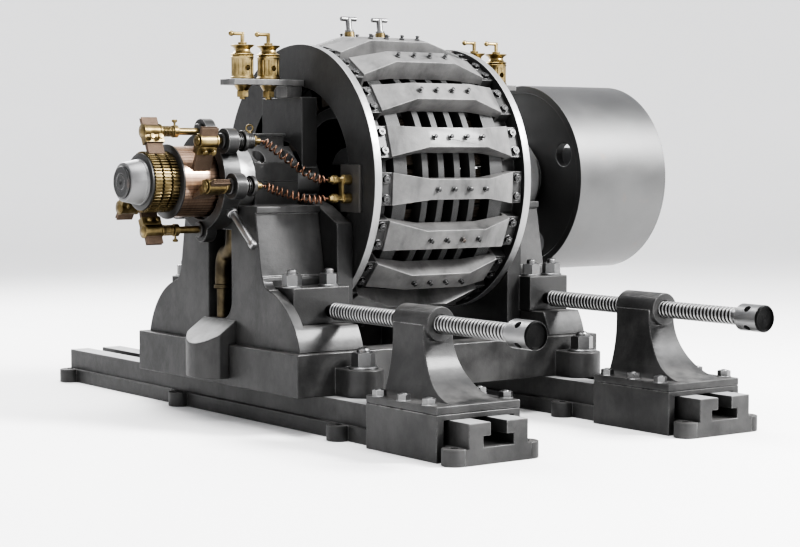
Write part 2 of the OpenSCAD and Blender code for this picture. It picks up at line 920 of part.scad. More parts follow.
module rear_bearing_cap() {
    color(dark)
        difference() {
            bearing_cap(bearing_x, bearing_rear_x);
            rod_x(bearing_x - 1, bearing_rear_x, bush_r);
            cap_bolt_holes(rear_cap_bolts_x);
        }
}

// Flanged bush whose snout carries the rocker ring
module front_bush() {
    bore_r = shaft_r + run_gap;
    neck_end = ring_x - 22;
    color(brass)
        turned([[bore_r, -snout_x], [snout_r, -snout_x], [snout_r, -bearing_front_x],
            [bush_r, -bearing_front_x], [bush_r, -frame_x], [neck_r, -frame_x],
            [neck_r, -neck_end], [bore_r, -neck_end]]);
}

module rear_bush() {
    bore_r = shaft_r + run_gap;
    boss_end = pulley_x - 9;
    neck_end = ring_x - 22;
    color(brass)
        turned([[bore_r, neck_end], [neck_r, neck_end], [neck_r, frame_x], [bush_r, frame_x],
            [bush_r, bearing_rear_x], [boss_r, bearing_rear_x], [boss_r, boss_end - 20],
            [boss_r - 20, boss_end], [bore_r, boss_end]]);
}

module cap_bolts() {
    color(steel)
        for (x = concat(front_cap_bolts_x, rear_cap_bolts_x), side = [-1, 1]) {
            translate([x, side * cap_bolt_y, 0]) {
                translate([0, 0, shaft_h - cap_bolt_depth])
                    cylinder(r = cap_bolt_r, h = cap_seat_z - shaft_h + cap_bolt_depth + 1, $fn = 48);
                translate([0, 0, cap_seat_z])
                    hex(cap_nut_w, cap_nut_h);
            }
        }
}

// Shelves that stand out from the rings over the bearings
module shelf() {
    difference() {
        union() {
            span([ring_x, -shelf_half_w, shaft_h + shelf_rise - shelf_t],
                [ring_x + shelf_l, shelf_half_w, shaft_h + shelf_rise]);
            section_y(-shelf_half_w + 10, 2 * shelf_half_w - 20)
                translate([ring_x, shaft_h + shelf_rise - shelf_t])
                    polygon([[0, 1], [0, -lug_h], [frame_t, -lug_h], [frame_t, 1]]);
        }
        for (x = posts_x) {
            translate([x, 0, shaft_h + shelf_rise - shelf_t - 1])
                cylinder(r = clamp_screw_r, h = shelf_t + 2, $fn = 48);
        }
    }
}

module terminal_shelves() {
    color(iron) {
        shelf();
        mirror([1, 0, 0])
            shelf();
    }
}

module post_places() {
    for (x = concat(posts_x, -posts_x)) {
        translate([x, 0, shaft_h + shelf_rise])
            children();
    }
}

// Spool-shaped posts with a wire hole and a threaded tail under the shelf
module terminal_posts() {
    color(brass)
        post_places()
            difference() {
                union() {
                    rotate_extrude($fn = smooth)
                        polygon([[0, 0], [post_r, 0], [post_r, 6], [post_r - 2, 6], [post_r - 2, post_h - 32],
                            [post_r, post_h - 30], [post_r, post_h - 22], [post_r - 10, post_h - 12],
                            [post_r, post_h], [0, post_h]]);
                    translate([0, 0, -shelf_t - post_tail])
                        cylinder(r = clamp_screw_r, h = shelf_t + post_tail + 1, $fn = 48);
                }
                translate([0, -post_r - 1, wire_z])
                    rotate([-90, 0, 0])
                        cylinder(r = wire_hole_r, h = 2 * post_r + 2, $fn = 48);
                translate([0, 0, wire_z])
                    cylinder(r = clamp_screw_r + run_gap, h = post_h, $fn = 48);
            }
}

// Cup-shaped washers and nuts under the shelf
module terminal_nuts() {
    color(brass)
        post_places()
            translate([0, 0, -shelf_t])
                difference() {
                    union() {
                        translate([0, 0, -post_cup_h])
                            cylinder(r1 = post_cup_r - 10, r2 = post_cup_r, h = post_cup_h, $fn = 48);
                        translate([0, 0, -post_cup_h - post_nut_h + 1])
                            hex(post_nut_w, post_nut_h);
                    }
                    translate([0, 0, -post_cup_h - post_nut_h])
                        cylinder(r = clamp_screw_r, h = post_cup_h + post_nut_h + 1, $fn = 48);
                }
}

// Clamping screw with a bent handle, its foot just above the wire hole
module crank_screw(x, turn) {
    arm_z = post_h + 28;
    arm_l = 30;
    color(brass)
        translate([x, 0, shaft_h + shelf_rise])
            rotate([0, 0, turn]) {
                translate([0, 0, wire_z + wire_hole_r + 2])
                    cylinder(r = clamp_screw_r, h = post_h - wire_z - wire_hole_r, $fn = 48);
                translate([0, 0, post_h + 0.5])
                    cylinder(r = 11, h = 6, $fn = 48);
                translate([0, 0, post_h + 4])
                    cylinder(r = 5, h = arm_z - post_h, $fn = 32);
                translate([-4, 0, arm_z])
                    rotate([0, 90, 0])
                        cylinder(r = 4.5, h = arm_l, $fn = 32);
                translate([arm_l, 0, arm_z])
                    sphere(r = 7, $fn = 32);
            }
}

module front_outer_crank() {
    crank_screw(-posts_x[1], 170);
}

module front_inner_crank() {
    crank_screw(-posts_x[0], 170);
}

module rear_inner_crank() {
    crank_screw(posts_x[0], 170);
}

module rear_outer_crank() {
    crank_screw(posts_x[1], 170);
}

module top_bar_place(x) {
    translate([0, 0, shaft_h])
        rotate([-bar_lean, 0, 0])
            translate([x, 0, bar_r])
                children();
}

module handle_bosses() {
    color(brass)
        for (x = t_screws_x) {
            top_bar_place(x)
                difference() {
                    cylinder(r = handle_boss_r, h = handle_boss_h, $fn = 48);
                    translate([0, 0, 2])
                        cylinder(r = clamp_screw_r + run_gap, h = 30, $fn = 48);
                }
        }
}

// Screw with a cross handle
module t_screw(x) {
    color(steel)
        top_bar_place(x) {
            translate([0, 0, 4])
                cylinder(r = clamp_screw_r, h = 50, $fn = 48);
            translate([0, 0, handle_boss_h + 0.5])
                cylinder(r = 12, h = 6, $fn = 48);
            translate([-24, 0, 52])
                rotate([0, 90, 0])
                    cylinder(r = 6, h = 48, $fn = 48);
        }
}

module front_t_screw() {
    t_screw(t_screws_x[0]);
}

module rear_t_screw() {
    t_screw(t_screws_x[1]);
}

module lead_plate() {
    color(slate)
        difference() {
            span([-ring_x - lead_plate_t, -293, shaft_h - 76], [-ring_x, -210, shaft_h + 42]);
            for (p = lead_studs) {
                rod_x(-ring_x - lead_plate_t - 1, lead_plate_t + 2, 7, p + [0, shaft_h]);
            }
        }
}

// Studs on the plate, held by nuts and joined by a link
module lead_studs_and_link() {
    face_x = -ring_x - lead_plate_t;
    color(brass) {
        for (p = lead_studs) {
            rod_x(-lead_stud_end_x, lead_stud_end_x - ring_x, 7, p + [0, shaft_h]);
            rod_x(face_x - 22, 22, 13, p + [0, shaft_h]);
            rod_x(face_x - 52, 12, 12, p + [0, shaft_h]);
        }
        span([face_x - 28, lead_studs[0][0] - 8, shaft_h + lead_studs[1][1]],
            [face_x - 21, lead_studs[0][0] + 8, shaft_h + lead_studs[0][1]]);
    }
}

function unit(v) = v / norm(v);
function bezier(p, t) = pow(1 - t, 3) * p[0] + 3 * pow(1 - t, 2) * t * p[1]
    + 3 * (1 - t) * t * t * p[2] + t * t * t * p[3];

// Middle of the wire: straight, curled about a bowed line, then straight again
function lead_line(a, b) = let (pull = [38, 0, -14], p = [a, a + pull, b - [38, 0, 10], b]) p;
function lead_points(a, b) = let (p = lead_line(a, b), n = curls * lead_rings, tail = [3 * wire_r, 0, 0])
    concat([a], [for (i = [0:n]) let (t = i / n,
        c = bezier([p[0] + tail, p[1] + tail, p[2] - tail, p[3] - tail], t),
        d = unit(bezier(p, min(1, t + 0.01)) - bezier(p, max(0, t - 0.01))),
        u = unit(cross(d, [0, 0, 1])), v = cross(u, d),
        r = curl_r * min(1, min(i, n - i) / lead_rings), w = 360 * i / lead_rings)
        c + r * (cos(w) * v + sin(w) * u)], [b]);

function tangents(p) = let (n = len(p) - 1)
    [for (i = [0:n]) i == 0 || i == n ? [1, 0, 0] : unit(p[i + 1] - p[i - 1])];
function carried(p) = let (t = tangents(p))
    [for (i = 0, v = [0, 0, 1]; i < len(p);
        i = i + 1, v = i < len(p) ? unit(v - (v * t[i]) * t[i]) : v) v];
function least_gap(p) = min([for (i = [0:len(p) - 1]) for (j = [i + lead_rings - 2:len(p) - 1])
    if (j < len(p)) norm(p[i] - p[j])]) - 2 * wire_r;

module wire(p) {
    sides = 6;
    n = len(p);
    t = tangents(p);
    v = carried(p);
    rings = [for (i = [0:n - 1], k = [0:sides - 1]) let (w = 360 * k / sides)
        p[i] + wire_r * (cos(w) * v[i] + sin(w) * cross(t[i], v[i]))];
    polyhedron(rings, concat(
        [for (i = [0:n - 2], k = [0:sides - 1]) let (m = (k + 1) % sides)
            each [[i * sides + k, (i + 1) * sides + k, (i + 1) * sides + m],
                [i * sides + k, (i + 1) * sides + m, i * sides + m]]],
        [for (k = [1:sides - 2]) [0, k, k + 1]],
        [for (k = [1:sides - 2]) [(n - 1) * sides, (n - 1) * sides + k + 1, (n - 1) * sides + k]]));
}

echo("least gap between the curls of the upper lead", least_gap(lead_points(upper_lead_from, upper_lead_to)));
echo("least gap between the curls of the lower lead", least_gap(lead_points(lower_lead_from, lower_lead_to)));

module upper_lead() {
    color(copper)
        wire(lead_points(upper_lead_from, upper_lead_to));
}

module lower_lead() {
    color(copper)
        wire(lead_points(lower_lead_from, lower_lead_to));
}

// Drip box with a sloping top and a bowed front, between the pedestal and the bed's collector end
module drip_box() {
    out_x = bed_front_x + drip_out;
    low_z = rail_h + drip_lift;
    color(iron)
        intersection() {
            section_y(-drip_half_w, 2 * drip_half_w)
                polygon([[-pedestal_front_x, bed_top], [-pedestal_front_x, recess_floor], [-out_x, bed_top],
                    [-out_x, low_z], [-bed_front_x, low_z], [-bed_front_x, bed_top]]);
            translate([drip_bow_r - out_x, 0, 0])
                cylinder(r = drip_bow_r, h = recess_floor + 1, $fn = smooth);
        }
}

// Oil drain: a pipe with two swelled bends, a banded joint and a narrow spout
module drain_pipe() {
    slant = 38;
    slant_l = drain_shift / sin(slant);
    low_z = recess_top - drain_top_l - slant_l * cos(slant);
    band_z = recess_floor + spout_l;
    color(brass)
        translate([-pedestal_front_x + recess_d - drain_bend_r, 0, 0]) {
            translate([0, -drain_shift / 2, recess_top - drain_top_l]) {
                cylinder(r = drain_r, h = drain_top_l, $fn = 48);
                sphere(r = drain_bend_r, $fn = 48);
                rotate([180 + slant, 0, 0])
                    cylinder(r = drain_r, h = slant_l, $fn = 48);
            }
            translate([0, drain_shift / 2, 0]) {
                translate([0, 0, low_z])
                    sphere(r = drain_bend_r, $fn = 48);
                translate([0, 0, band_z])
                    cylinder(r = drain_r, h = low_z - band_z, $fn = 48);
                translate([0, 0, band_z])
                    cylinder(r = drain_bend_r, h = drain_band, $fn = 48);
                translate([0, 0, recess_floor])
                    cylinder(r = spout_r, h = spout_l + 1, $fn = 48);
            }
        }
}

// Tension screw with a ringed thread, a tip against the foot block and a bored head
module tension_screw() {
    tip_l = 18;
    tip_r = 15;
    neck_l = 12;
    bar_hole_r = 9;
    thread_n = floor((thread_l - tip_l - 4) / screw_pitch);
    root_r = screw_r - thread_d;
    crest = screw_pitch * 0.3;
    flank = screw_pitch * 0.2;
    color(steel)
        translate([0, -foot_half_w, screw_z])
            rotate([90, 0, 0])
                difference() {
                    union() {
                        rotate_extrude($fn = smooth)
                            polygon(concat([[0, 0], [tip_r, 0], [tip_r, tip_l]],
                                [for (k = [0:thread_n - 1]) let (z = tip_l + k * screw_pitch)
                                    each [[root_r, z], [screw_r, z + flank], [screw_r, z + flank + crest],
                                        [root_r, z + 2 * flank + crest]]],
                                [[root_r, thread_l], [0, thread_l]]));
                        translate([0, 0, thread_l - 1])
                            cylinder(r = screw_r, h = neck_l + 2, $fn = smooth);
                        translate([0, 0, thread_l + neck_l])
                            cylinder(r = screw_head_r, h = screw_head_l - neck_l, $fn = smooth);
                    }
                    for (turn = [0, 90]) {
                        translate([0, 0, thread_l + (neck_l + screw_head_l) / 2])
                            rotate([0, 90, turn])
                                cylinder(r = bar_hole_r, h = 3 * screw_head_r, center = true, $fn = 48);
                    }
                }
}

module left_tension_screw() {
    translate([-rail_x, 0, 0])
        tension_screw();
}

module right_tension_screw() {
    translate([rail_x, 0, 0])
        tension_screw();
}

module shaft() {
    color(steel)
        rod_x(-shaft_front_x, shaft_front_x + shaft_rear_x, shaft_r);
}

// Spoked wheel on the shaft that carries the magnet poles
module magnet_wheel() {
    rim_half_l = 130;
    rim_in_r = wheel_r - 30;
    color(dark)
        difference() {
            union() {
                ring_x_body(-rim_half_l, 2 * rim_half_l, rim_in_r, wheel_r);
                rod_x(-90, 180, hub_r);
                translate([0, 0, shaft_h])
                    for (k = [0:5]) {
                        rotate([60 * k, 0, 0])
                            span([-30, -20, hub_r - 10], [30, 20, rim_in_r + 5]);
                    }
            }
            rod_x(-rim_half_l, 2 * rim_half_l, shaft_r);
        }
}

// Poles whose shoes face the teeth
module rotor_poles() {
    color(slate)
        intersection() {
            difference() {
                round_shaft(-bar_lean, 360 / bar_n) {
                    span([-pole_half_l, -pole_w / 2, wheel_r - 20],
                        [pole_half_l, pole_w / 2, pole_neck_r + 1]);
                    span([-pole_half_l - 22, -pole_w / 2 - 13, pole_neck_r],
                        [pole_half_l + 22, pole_w / 2 + 13, pole_r]);
                }
                rod_x(-ring_x, 2 * ring_x, wheel_r);
            }
            rod_x(-ring_x, 2 * ring_x, pole_r);
        }
}

module rotor_coils() {
    side_t = 12;
    color(copper)
        round_shaft(-bar_lean, 360 / bar_n)
            translate([0, 0, wheel_r + 4])
                linear_extrude(pole_neck_r - wheel_r - 4)
                    difference() {
                        square([2 * pole_half_l + 2 * side_t, pole_w + 2 * side_t], center = true);
                        square([2 * pole_half_l, pole_w], center = true);
                    }
}

module commutator() {
    color(copper)
        ring_x_body(-commutator_x - commutator_l, commutator_l, shaft_r, commutator_r);
}

// Three rings on a sleeve, with a groove between each pair
module collector_rings() {
    half_groove = collector_groove / 2;
    groove_r = collector_r - 12;
    x0 = -collector_end_x;
    color(brass)
        turned(concat([[shaft_r, x0], [groove_r, x0]],
            [for (k = [0:2]) let (x = x0 + k * collector_pitch)
                each [[groove_r, x + half_groove], [collector_r, x + half_groove],
                    [collector_r, x + collector_pitch - half_groove],
                    [groove_r, x + collector_pitch - half_groove]]],
            [[groove_r, -collector_x], [shaft_r, -collector_x]]));
}

// Tapered collar between the shaft's end and the collector rings
module end_collar() {
    x1 = -collector_end_x;
    color(steel)
        turned([[shaft_r, -shaft_front_x + 6], [shaft_r + 6, -shaft_front_x + 6],
            [shaft_r + 8, -shaft_front_x + 8], [shaft_r + 18, x1], [shaft_r, x1]]);
}

// Belt pulley with a holed web set in from its near edge
module pulley() {
    web_x = pulley_x + web_inset;
    rim_in_r = pulley_r - pulley_rim_t;
    web_hole_at = (hub_r + rim_in_r) / 2 + web_hole_out;
    color(steel)
        difference() {
            union() {
                ring_x_body(pulley_x, pulley_w, rim_in_r, pulley_r);
                rod_x(web_x, web_t, rim_in_r + 1);
                rod_x(pulley_x + 2, pulley_w - 2, hub_r);
            }
            rod_x(pulley_x, pulley_w + 2, shaft_r);
            for (k = [0:3]) {
                rotate_about_shaft(web_hole_turn + 90 * k)
                    translate([web_x - 1, 0, web_hole_at])
                        rotate([0, 90, 0])
                            cylinder(r = web_hole_r, h = web_t + 2, $fn = 64);
            }
        }
}

module rotate_about_shaft(angle) {
    translate([0, 0, shaft_h])
        rotate([angle, 0, 0])
            children();
}

// Rocker ring with lobes for the brush studs
module rocker_ring() {
    color(dark)
        difference() {
            union() {
                ring_x_body(-rocker_x, rocker_w, rocker_in_r, rocker_out_r);
                for (p = studs) {
                    rod_x(-rocker_x, lobe_l, lobe_r, p + [0, shaft_h]);
                }
            }
            rod_x(-rocker_x - 1, rocker_w + 2, rocker_in_r);
            for (p = studs) {
                rod_x(-rocker_x - 1, lobe_l + 1, stud_r + bush_t, p + [0, shaft_h]);
            }
            handle_place()
                translate([0, 0, rocker_out_r - 18])
                    cylinder(r = handle_r, h = 60, $fn = 48);
        }
}

module handle_place() {
    translate([-rocker_x + rocker_w - 14, 0, shaft_h])
        rotate([90 + 38, 0, 0])
            children();
}

// Rod by which the brushes are set
module rocker_handle() {
    color(steel)
        handle_place() {
            translate([0, 0, rocker_out_r - 18])
                cylinder(r = handle_r, h = 148, $fn = 48);
            translate([0, 0, rocker_out_r + 118])
                cylinder(r = handle_r + 2, h = 16, $fn = 48);
        }
}

module brush_studs() {
    color(brass)
        for (s = stud_spans) {
            rod_x(-s[1], s[1] - s[2], stud_r, s[0] + [0, shaft_h]);
        }
}

// Insulating bushes in the lobes, flanged in front and, where a stud goes through, behind
module stud_bushes() {
    color(slate)
        for (s = stud_spans) {
            difference() {
                union() {
                    rod_x(-rocker_x, lobe_l, stud_r + bush_t, s[0] + [0, shaft_h]);
                    rod_x(-rocker_x - bush_flange, bush_flange, spool_r, s[0] + [0, shaft_h]);
                    if (s[2] < rocker_x - lobe_l) {
                        rod_x(-rocker_x + lobe_l, spool_l, spool_r, s[0] + [0, shaft_h]);
                        rod_x(-rocker_x + lobe_l + spool_l, spool_cap, spool_cap_r, s[0] + [0, shaft_h]);
                    }
                }
                rod_x(-rocker_x - bush_flange - 1, lobe_l + spool_l + 2 * spool_cap + bush_flange, stud_r,
                    s[0] + [0, shaft_h]);
            }
        }
}

// Holder that swings on a stud and carries a flat brush leaning on a ring
module brush_holder(stud, x0, l, ring_radius) {
    toward = atan2(-stud[1], -stud[0]);
    reach = norm(stud) * cos(brush_lean);
    color(brass)
        difference() {
            union() {
                rod_x(x0, l, sleeve_r, stud + [0, shaft_h]);
                translate([x0 + brush_inset, stud[0], shaft_h + stud[1]])
                    rotate([toward - brush_lean, 0, 0])
                        translate([0, -brush_tail, -brush_t / 2])
                            cube([l - 2 * brush_inset, brush_tail + reach, brush_t]);
            }
            rod_x(x0 - 1, l + 2, stud_r + run_gap, stud + [0, shaft_h]);
            rod_x(x0 - 1, l + 2, ring_radius + brush_gap);
        }
}

module upper_brush() {
    brush_holder(upper_stud, stud_nose - brush_stud_x, commutator_brush_w, commutator_r);
}

module side_brush() {
    brush_holder(side_stud, stud_nose - brush_stud_x, commutator_brush_w, commutator_r);
}

module top_ring_brush() {
    brush_holder(top_stud, -collector_end_x + 4, ring_brush_w, collector_r);
}

module low_ring_brush() {
    brush_holder(low_stud, -collector_end_x + 4, ring_brush_w, collector_r);
}

module far_ring_brush() {
    brush_holder(far_stud, -collector_end_x + 4, ring_brush_w, collector_r);
}

left_rail();
right_rail();
bracket_bases();
screw_pedestals();
bracket_bolts();
bed();
clamp_bolts();
front_pedestal();
rear_pedestal();
front_end_frame();
rear_end_frame();
foot_bolts();
front_ring();
rear_ring();
stator_bars();
bar_bolts();
bar_screws();
core_hoops();
core_teeth();
armature_coils();
front_bearing_cap();
front_bush();
rear_bearing_cap();
rear_bush();
cap_bolts();
terminal_shelves();
terminal_posts();
terminal_nuts();
handle_bosses();
lead_plate();
lead_studs_and_link();
upper_lead();
lower_lead();
drip_box();
drain_pipe();
front_outer_crank();
front_inner_crank();
rear_inner_crank();
rear_outer_crank();
front_t_screw();
rear_t_screw();
left_tension_screw();
right_tension_screw();
shaft();
magnet_wheel();
rotor_poles();
rotor_coils();
commutator();
collector_rings();
end_collar();
pulley();
rocker_ring();
rocker_handle();
brush_studs();
stud_bushes();
upper_brush();
side_brush();
top_ring_brush();
low_ring_brush();
far_ring_brush();
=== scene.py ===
import bpy
import json
import math
from functools import partialmethod
from mathutils import Matrix, Vector

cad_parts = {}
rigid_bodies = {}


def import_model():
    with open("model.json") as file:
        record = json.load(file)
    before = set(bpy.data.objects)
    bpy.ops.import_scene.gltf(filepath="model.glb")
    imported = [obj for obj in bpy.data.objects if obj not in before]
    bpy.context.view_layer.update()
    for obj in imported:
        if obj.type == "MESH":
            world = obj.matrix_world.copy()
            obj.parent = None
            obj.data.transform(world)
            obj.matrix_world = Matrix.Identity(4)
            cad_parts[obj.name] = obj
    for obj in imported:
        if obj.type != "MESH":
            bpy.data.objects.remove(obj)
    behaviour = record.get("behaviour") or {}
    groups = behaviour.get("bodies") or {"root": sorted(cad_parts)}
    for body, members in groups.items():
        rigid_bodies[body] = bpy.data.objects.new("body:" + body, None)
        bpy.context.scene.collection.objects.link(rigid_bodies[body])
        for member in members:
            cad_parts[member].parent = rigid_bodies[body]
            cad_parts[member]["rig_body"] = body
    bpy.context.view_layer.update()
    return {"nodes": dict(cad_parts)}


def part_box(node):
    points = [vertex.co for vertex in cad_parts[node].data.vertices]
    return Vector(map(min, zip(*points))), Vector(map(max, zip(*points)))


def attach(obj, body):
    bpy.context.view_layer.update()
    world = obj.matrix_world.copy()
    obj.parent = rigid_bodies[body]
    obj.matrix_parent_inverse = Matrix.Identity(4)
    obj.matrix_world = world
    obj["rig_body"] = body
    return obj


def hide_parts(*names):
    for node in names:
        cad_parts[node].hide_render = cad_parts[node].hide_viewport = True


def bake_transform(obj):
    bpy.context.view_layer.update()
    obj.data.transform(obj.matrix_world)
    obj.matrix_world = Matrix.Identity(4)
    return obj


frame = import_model()
nodes = frame["nodes"]
shaftZ = 0.6
origin = Vector((0, 0, 0))
alongX, alongZ = Vector((1, 0, 0)), Vector((0, 0, 1))
fullTurn = 2 * math.pi
print("frame loaded with", len(nodes), "nodes")


# Handling of pieces

mergeWithin, seedPlane = 1e-6, 0.002
flatAngle, sharpAngle = math.radians(0.5), math.radians(34)
plain, crisp = 38, 30


def deselect():
    active = bpy.context.view_layer.objects.active
    if active and active.mode != "OBJECT":
        bpy.ops.object.mode_set(mode="OBJECT")
    bpy.ops.object.select_all(action="DESELECT")


def pick(piece):
    deselect()
    piece.select_set(True)
    bpy.context.view_layer.objects.active = piece


def edit(piece, action="SELECT", kind="FACE"):
    pick(piece)
    bpy.ops.object.mode_set(mode="EDIT")
    bpy.ops.mesh.select_mode(type=kind)
    bpy.ops.mesh.select_all(action=action)


def leave():
    bpy.ops.object.mode_set(mode="OBJECT")
    return bpy.context.object


def settle(piece, name):
    pick(piece)
    piece.name = name
    bpy.ops.object.transform_apply(location=True, rotation=True, scale=True)
    return piece


def modify(piece, kind, **settings):
    pick(piece)
    modifier = piece.modifiers.new(kind, kind)
    for key, value in settings.items():
        setattr(modifier, key, value)
    bpy.ops.object.modifier_apply(modifier=modifier.name)
    return piece


def smooth(piece, angle=plain):
    pick(piece)
    bpy.ops.object.shade_smooth_by_angle(angle=math.radians(angle))
    return piece


def ease(piece, width, segments=2, box=None, limit="ANGLE"):
    modify(piece, "BEVEL", width=width, segments=segments, limit_method=limit,
           angle_limit=sharpAngle, use_clamp_overlap=False)
    if box:  # a bevel on a tangent corner can slip past the casting
        for vertex in piece.data.vertices:
            vertex.co = [min(max(value, low), high) for value, low, high in zip(vertex.co, *box)]
    smooth(piece)
    return modify(piece, "WEIGHTED_NORMAL", keep_sharp=True, weight=80)


def clean(piece, inside=False):
    edit(piece)
    bpy.ops.mesh.remove_doubles(threshold=mergeWithin)
    bpy.ops.mesh.normals_make_consistent(inside=inside)
    return leave()


def chooseFaces(piece, test):
    edit(piece, "DESELECT")
    leave()
    for face in piece.data.polygons:
        face.select = bool(test(face.center, face.normal))
    bpy.ops.object.mode_set(mode="EDIT")


def join(pieces, name):
    deselect()
    for piece in pieces:
        piece.select_set(True)
    bpy.context.view_layer.objects.active = pieces[0]
    bpy.ops.object.join()
    pieces[0].name = name
    return pieces[0]


def repeat(piece, places, name):
    made = []
    for place in places:
        twin = piece.copy()
        twin.data = piece.data.copy()
        twin.data.transform(place)
        bpy.context.scene.collection.objects.link(twin)
        made.append(twin)
    bpy.data.objects.remove(piece)
    return join(made, name)


def rod(name, radius, depth, start, along, sides):
    deselect()
    along = Vector(along).normalized()
    turn = alongZ.rotation_difference(along).to_euler()
    bpy.ops.mesh.primitive_cylinder_add(vertices=sides, radius=radius, depth=depth, rotation=turn,
                                        location=Vector(start) + along * depth / 2)
    return settle(bpy.context.object, name)


def block(name, low, high):
    deselect()
    low, high = Vector(low), Vector(high)
    bpy.ops.mesh.primitive_cube_add(size=1, location=(low + high) / 2)
    bpy.context.object.scale = high - low
    return settle(bpy.context.object, name)


# A chain of edges through the points, left selected in edit mode
def drawLine(name, points):
    deselect()
    bpy.ops.mesh.primitive_plane_add(size=seedPlane)
    bpy.context.object.name = name
    edit(bpy.context.object, kind="VERT")
    bpy.ops.mesh.merge(type="CENTER")
    bpy.ops.transform.translate(value=points[0])
    for before, after in zip(points, points[1:]):
        bpy.ops.mesh.extrude_vertices_move(TRANSFORM_OT_translate={"value": after - before})
    bpy.ops.mesh.select_all(action="SELECT")


# A profile of (along, radius) points, spun about its axis
def lathe(name, profile, start, axis, steps):
    start, axis = Vector(start), Vector(axis).normalized()
    out = axis.orthogonal().normalized()
    drawLine(name, [start + axis * along + out * radius for along, radius in profile])
    bpy.ops.mesh.spin(steps=steps, angle=fullTurn, center=start, axis=axis)
    return clean(leave())


# Profile points are written in millimetres
def mm(*profile):
    return [(along / 1000, radius / 1000) for along, radius in profile]


def moved(profile, shift):
    return [(shift + along, radius) for along, radius in profile]


def mirrored(end, length):
    return end + [(length - along, radius) for along, radius in reversed(end)]


def tube(name, points, radius, ringSides):
    deselect()
    bpy.ops.curve.primitive_nurbs_path_add()
    piece = bpy.context.object
    piece.name = name
    piece.location = origin
    line = piece.data
    line.splines.clear()
    spline = line.splines.new("POLY")
    spline.points.add(len(points) - 1)
    for point, place in zip(spline.points, points):
        point.co = (*place, 1)
    line.bevel_depth = radius
    line.bevel_resolution = ringSides
    line.use_fill_caps = True
    pick(piece)
    bpy.ops.object.convert(target="MESH")
    return smooth(clean(bpy.context.object))


def cut(piece, cutter, operation="DIFFERENCE"):
    modify(piece, "BOOLEAN", object=cutter, operation=operation, solver="EXACT")
    bpy.data.objects.remove(cutter)
    return piece


# A piece rides on the body of the node that it stands for, or on the body named
def dress(piece, finish, node=None, body=None):
    piece.data.materials.clear()
    piece.data.materials.append(finish)
    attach(piece, body or nodes[node]["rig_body"])
    if node:
        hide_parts(node)


# Shortest edge that is eased on the pieces whose holes and inner corners would trip the bevel
outwardOnly = {"screw_pedestals": 0.0025, "front_t_screw": 0, "rear_t_screw": 0,
               "lead_studs_and_link": 0, "left_rail": 0.0025, "right_rail": 0.0025}


def weighOutward(piece, shortest):
    edit(piece)
    bpy.ops.mesh.quads_convert_to_tris(ngon_method="BEAUTY")
    bpy.ops.mesh.select_mode(type="EDGE")
    bpy.ops.mesh.select_all(action="DESELECT")
    bpy.ops.mesh.edges_select_sharp(sharpness=sharpAngle)
    leave()
    points = piece.data.vertices
    beside = {}
    for face in piece.data.polygons:
        for key in face.edge_keys:
            beside.setdefault(key, []).append(face)
    for line in piece.data.edges:
        one, two = beside[line.key]
        start, end = (points[index].co for index in line.vertices)
        outward = one.normal.dot(two.center - start) < 0
        line.select = line.select and outward and (end - start).length > shortest
    bpy.ops.object.mode_set(mode="EDIT")
    bpy.ops.transform.edge_bevelweight(value=1)
    leave()


# A copy of a casting with its edges eased, in place of the sharp one
def easedCopy(node, finish, width):
    piece = bpy.data.objects.new(node + ".eased", nodes[node].data.copy())
    bpy.context.scene.collection.objects.link(piece)
    edit(piece)
    bpy.ops.mesh.remove_doubles(threshold=mergeWithin)
    bpy.ops.mesh.dissolve_limited(angle_limit=flatAngle)
    leave()
    limit = "ANGLE"
    if node in outwardOnly:
        weighOutward(piece, outwardOnly[node])
        limit = "WEIGHT"
    ease(piece, width, box=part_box(node), limit=limit)
    dress(piece, finish, node)


# Camera and lamps

viewpoint = {"place": (-2.9307, -4.1578, 0.67815), "tip": 86.3, "turn": -35.92, "lens": 85.95,
             "sensor": 36, "clip": 200}


def setCamera():
    deselect()
    turn = (math.radians(viewpoint["tip"]), 0, math.radians(viewpoint["turn"]))
    bpy.ops.object.camera_add(location=viewpoint["place"], rotation=turn)
    camera = bpy.context.object
    camera.name = "photoCamera"
    camera.data.sensor_fit = "HORIZONTAL"
    camera.data.sensor_width = viewpoint["sensor"]
    camera.data.lens = viewpoint["lens"]
    camera.data.clip_end = viewpoint["clip"]
    bpy.context.scene.camera = camera


# Each lamp has a name, a place, an aim, a size and a power
studio = {
    "lamps": [
        ("keyLamp", (2.7, -3.5, 3.5), (0.0, 0.0, 0.45), 1.5, 490),
        ("frontLamp", (0.2, -5.2, 2.3), (-0.2, 0.0, 0.5), 1.8, 45),
        ("fillLamp", (-4.4, -2.4, 1.6), (-0.3, 0.0, 0.5), 2.6, 14),
        ("backLamp", (0.2, 3.6, 3.0), (0.0, 0.0, 0.6), 2.4, 130),
        ("topLamp", (-0.4, -0.6, 4.4), (0.0, 0.0, 0.4), 2.8, 120),
    ],
    "sky": (0.96, 0.97, 1.0), "skyStrength": 0.72, "look": "AgX - High Contrast", "exposure": 0.42,
    "backdrop": [(0, 0), (0, 7.0), (0.03, 7.8), (0.16, 8.6), (0.5, 9.4), (1.1, 10.1), (2.1, 10.7),
                 (3.6, 11.1), (6.0, 11.3)],
}


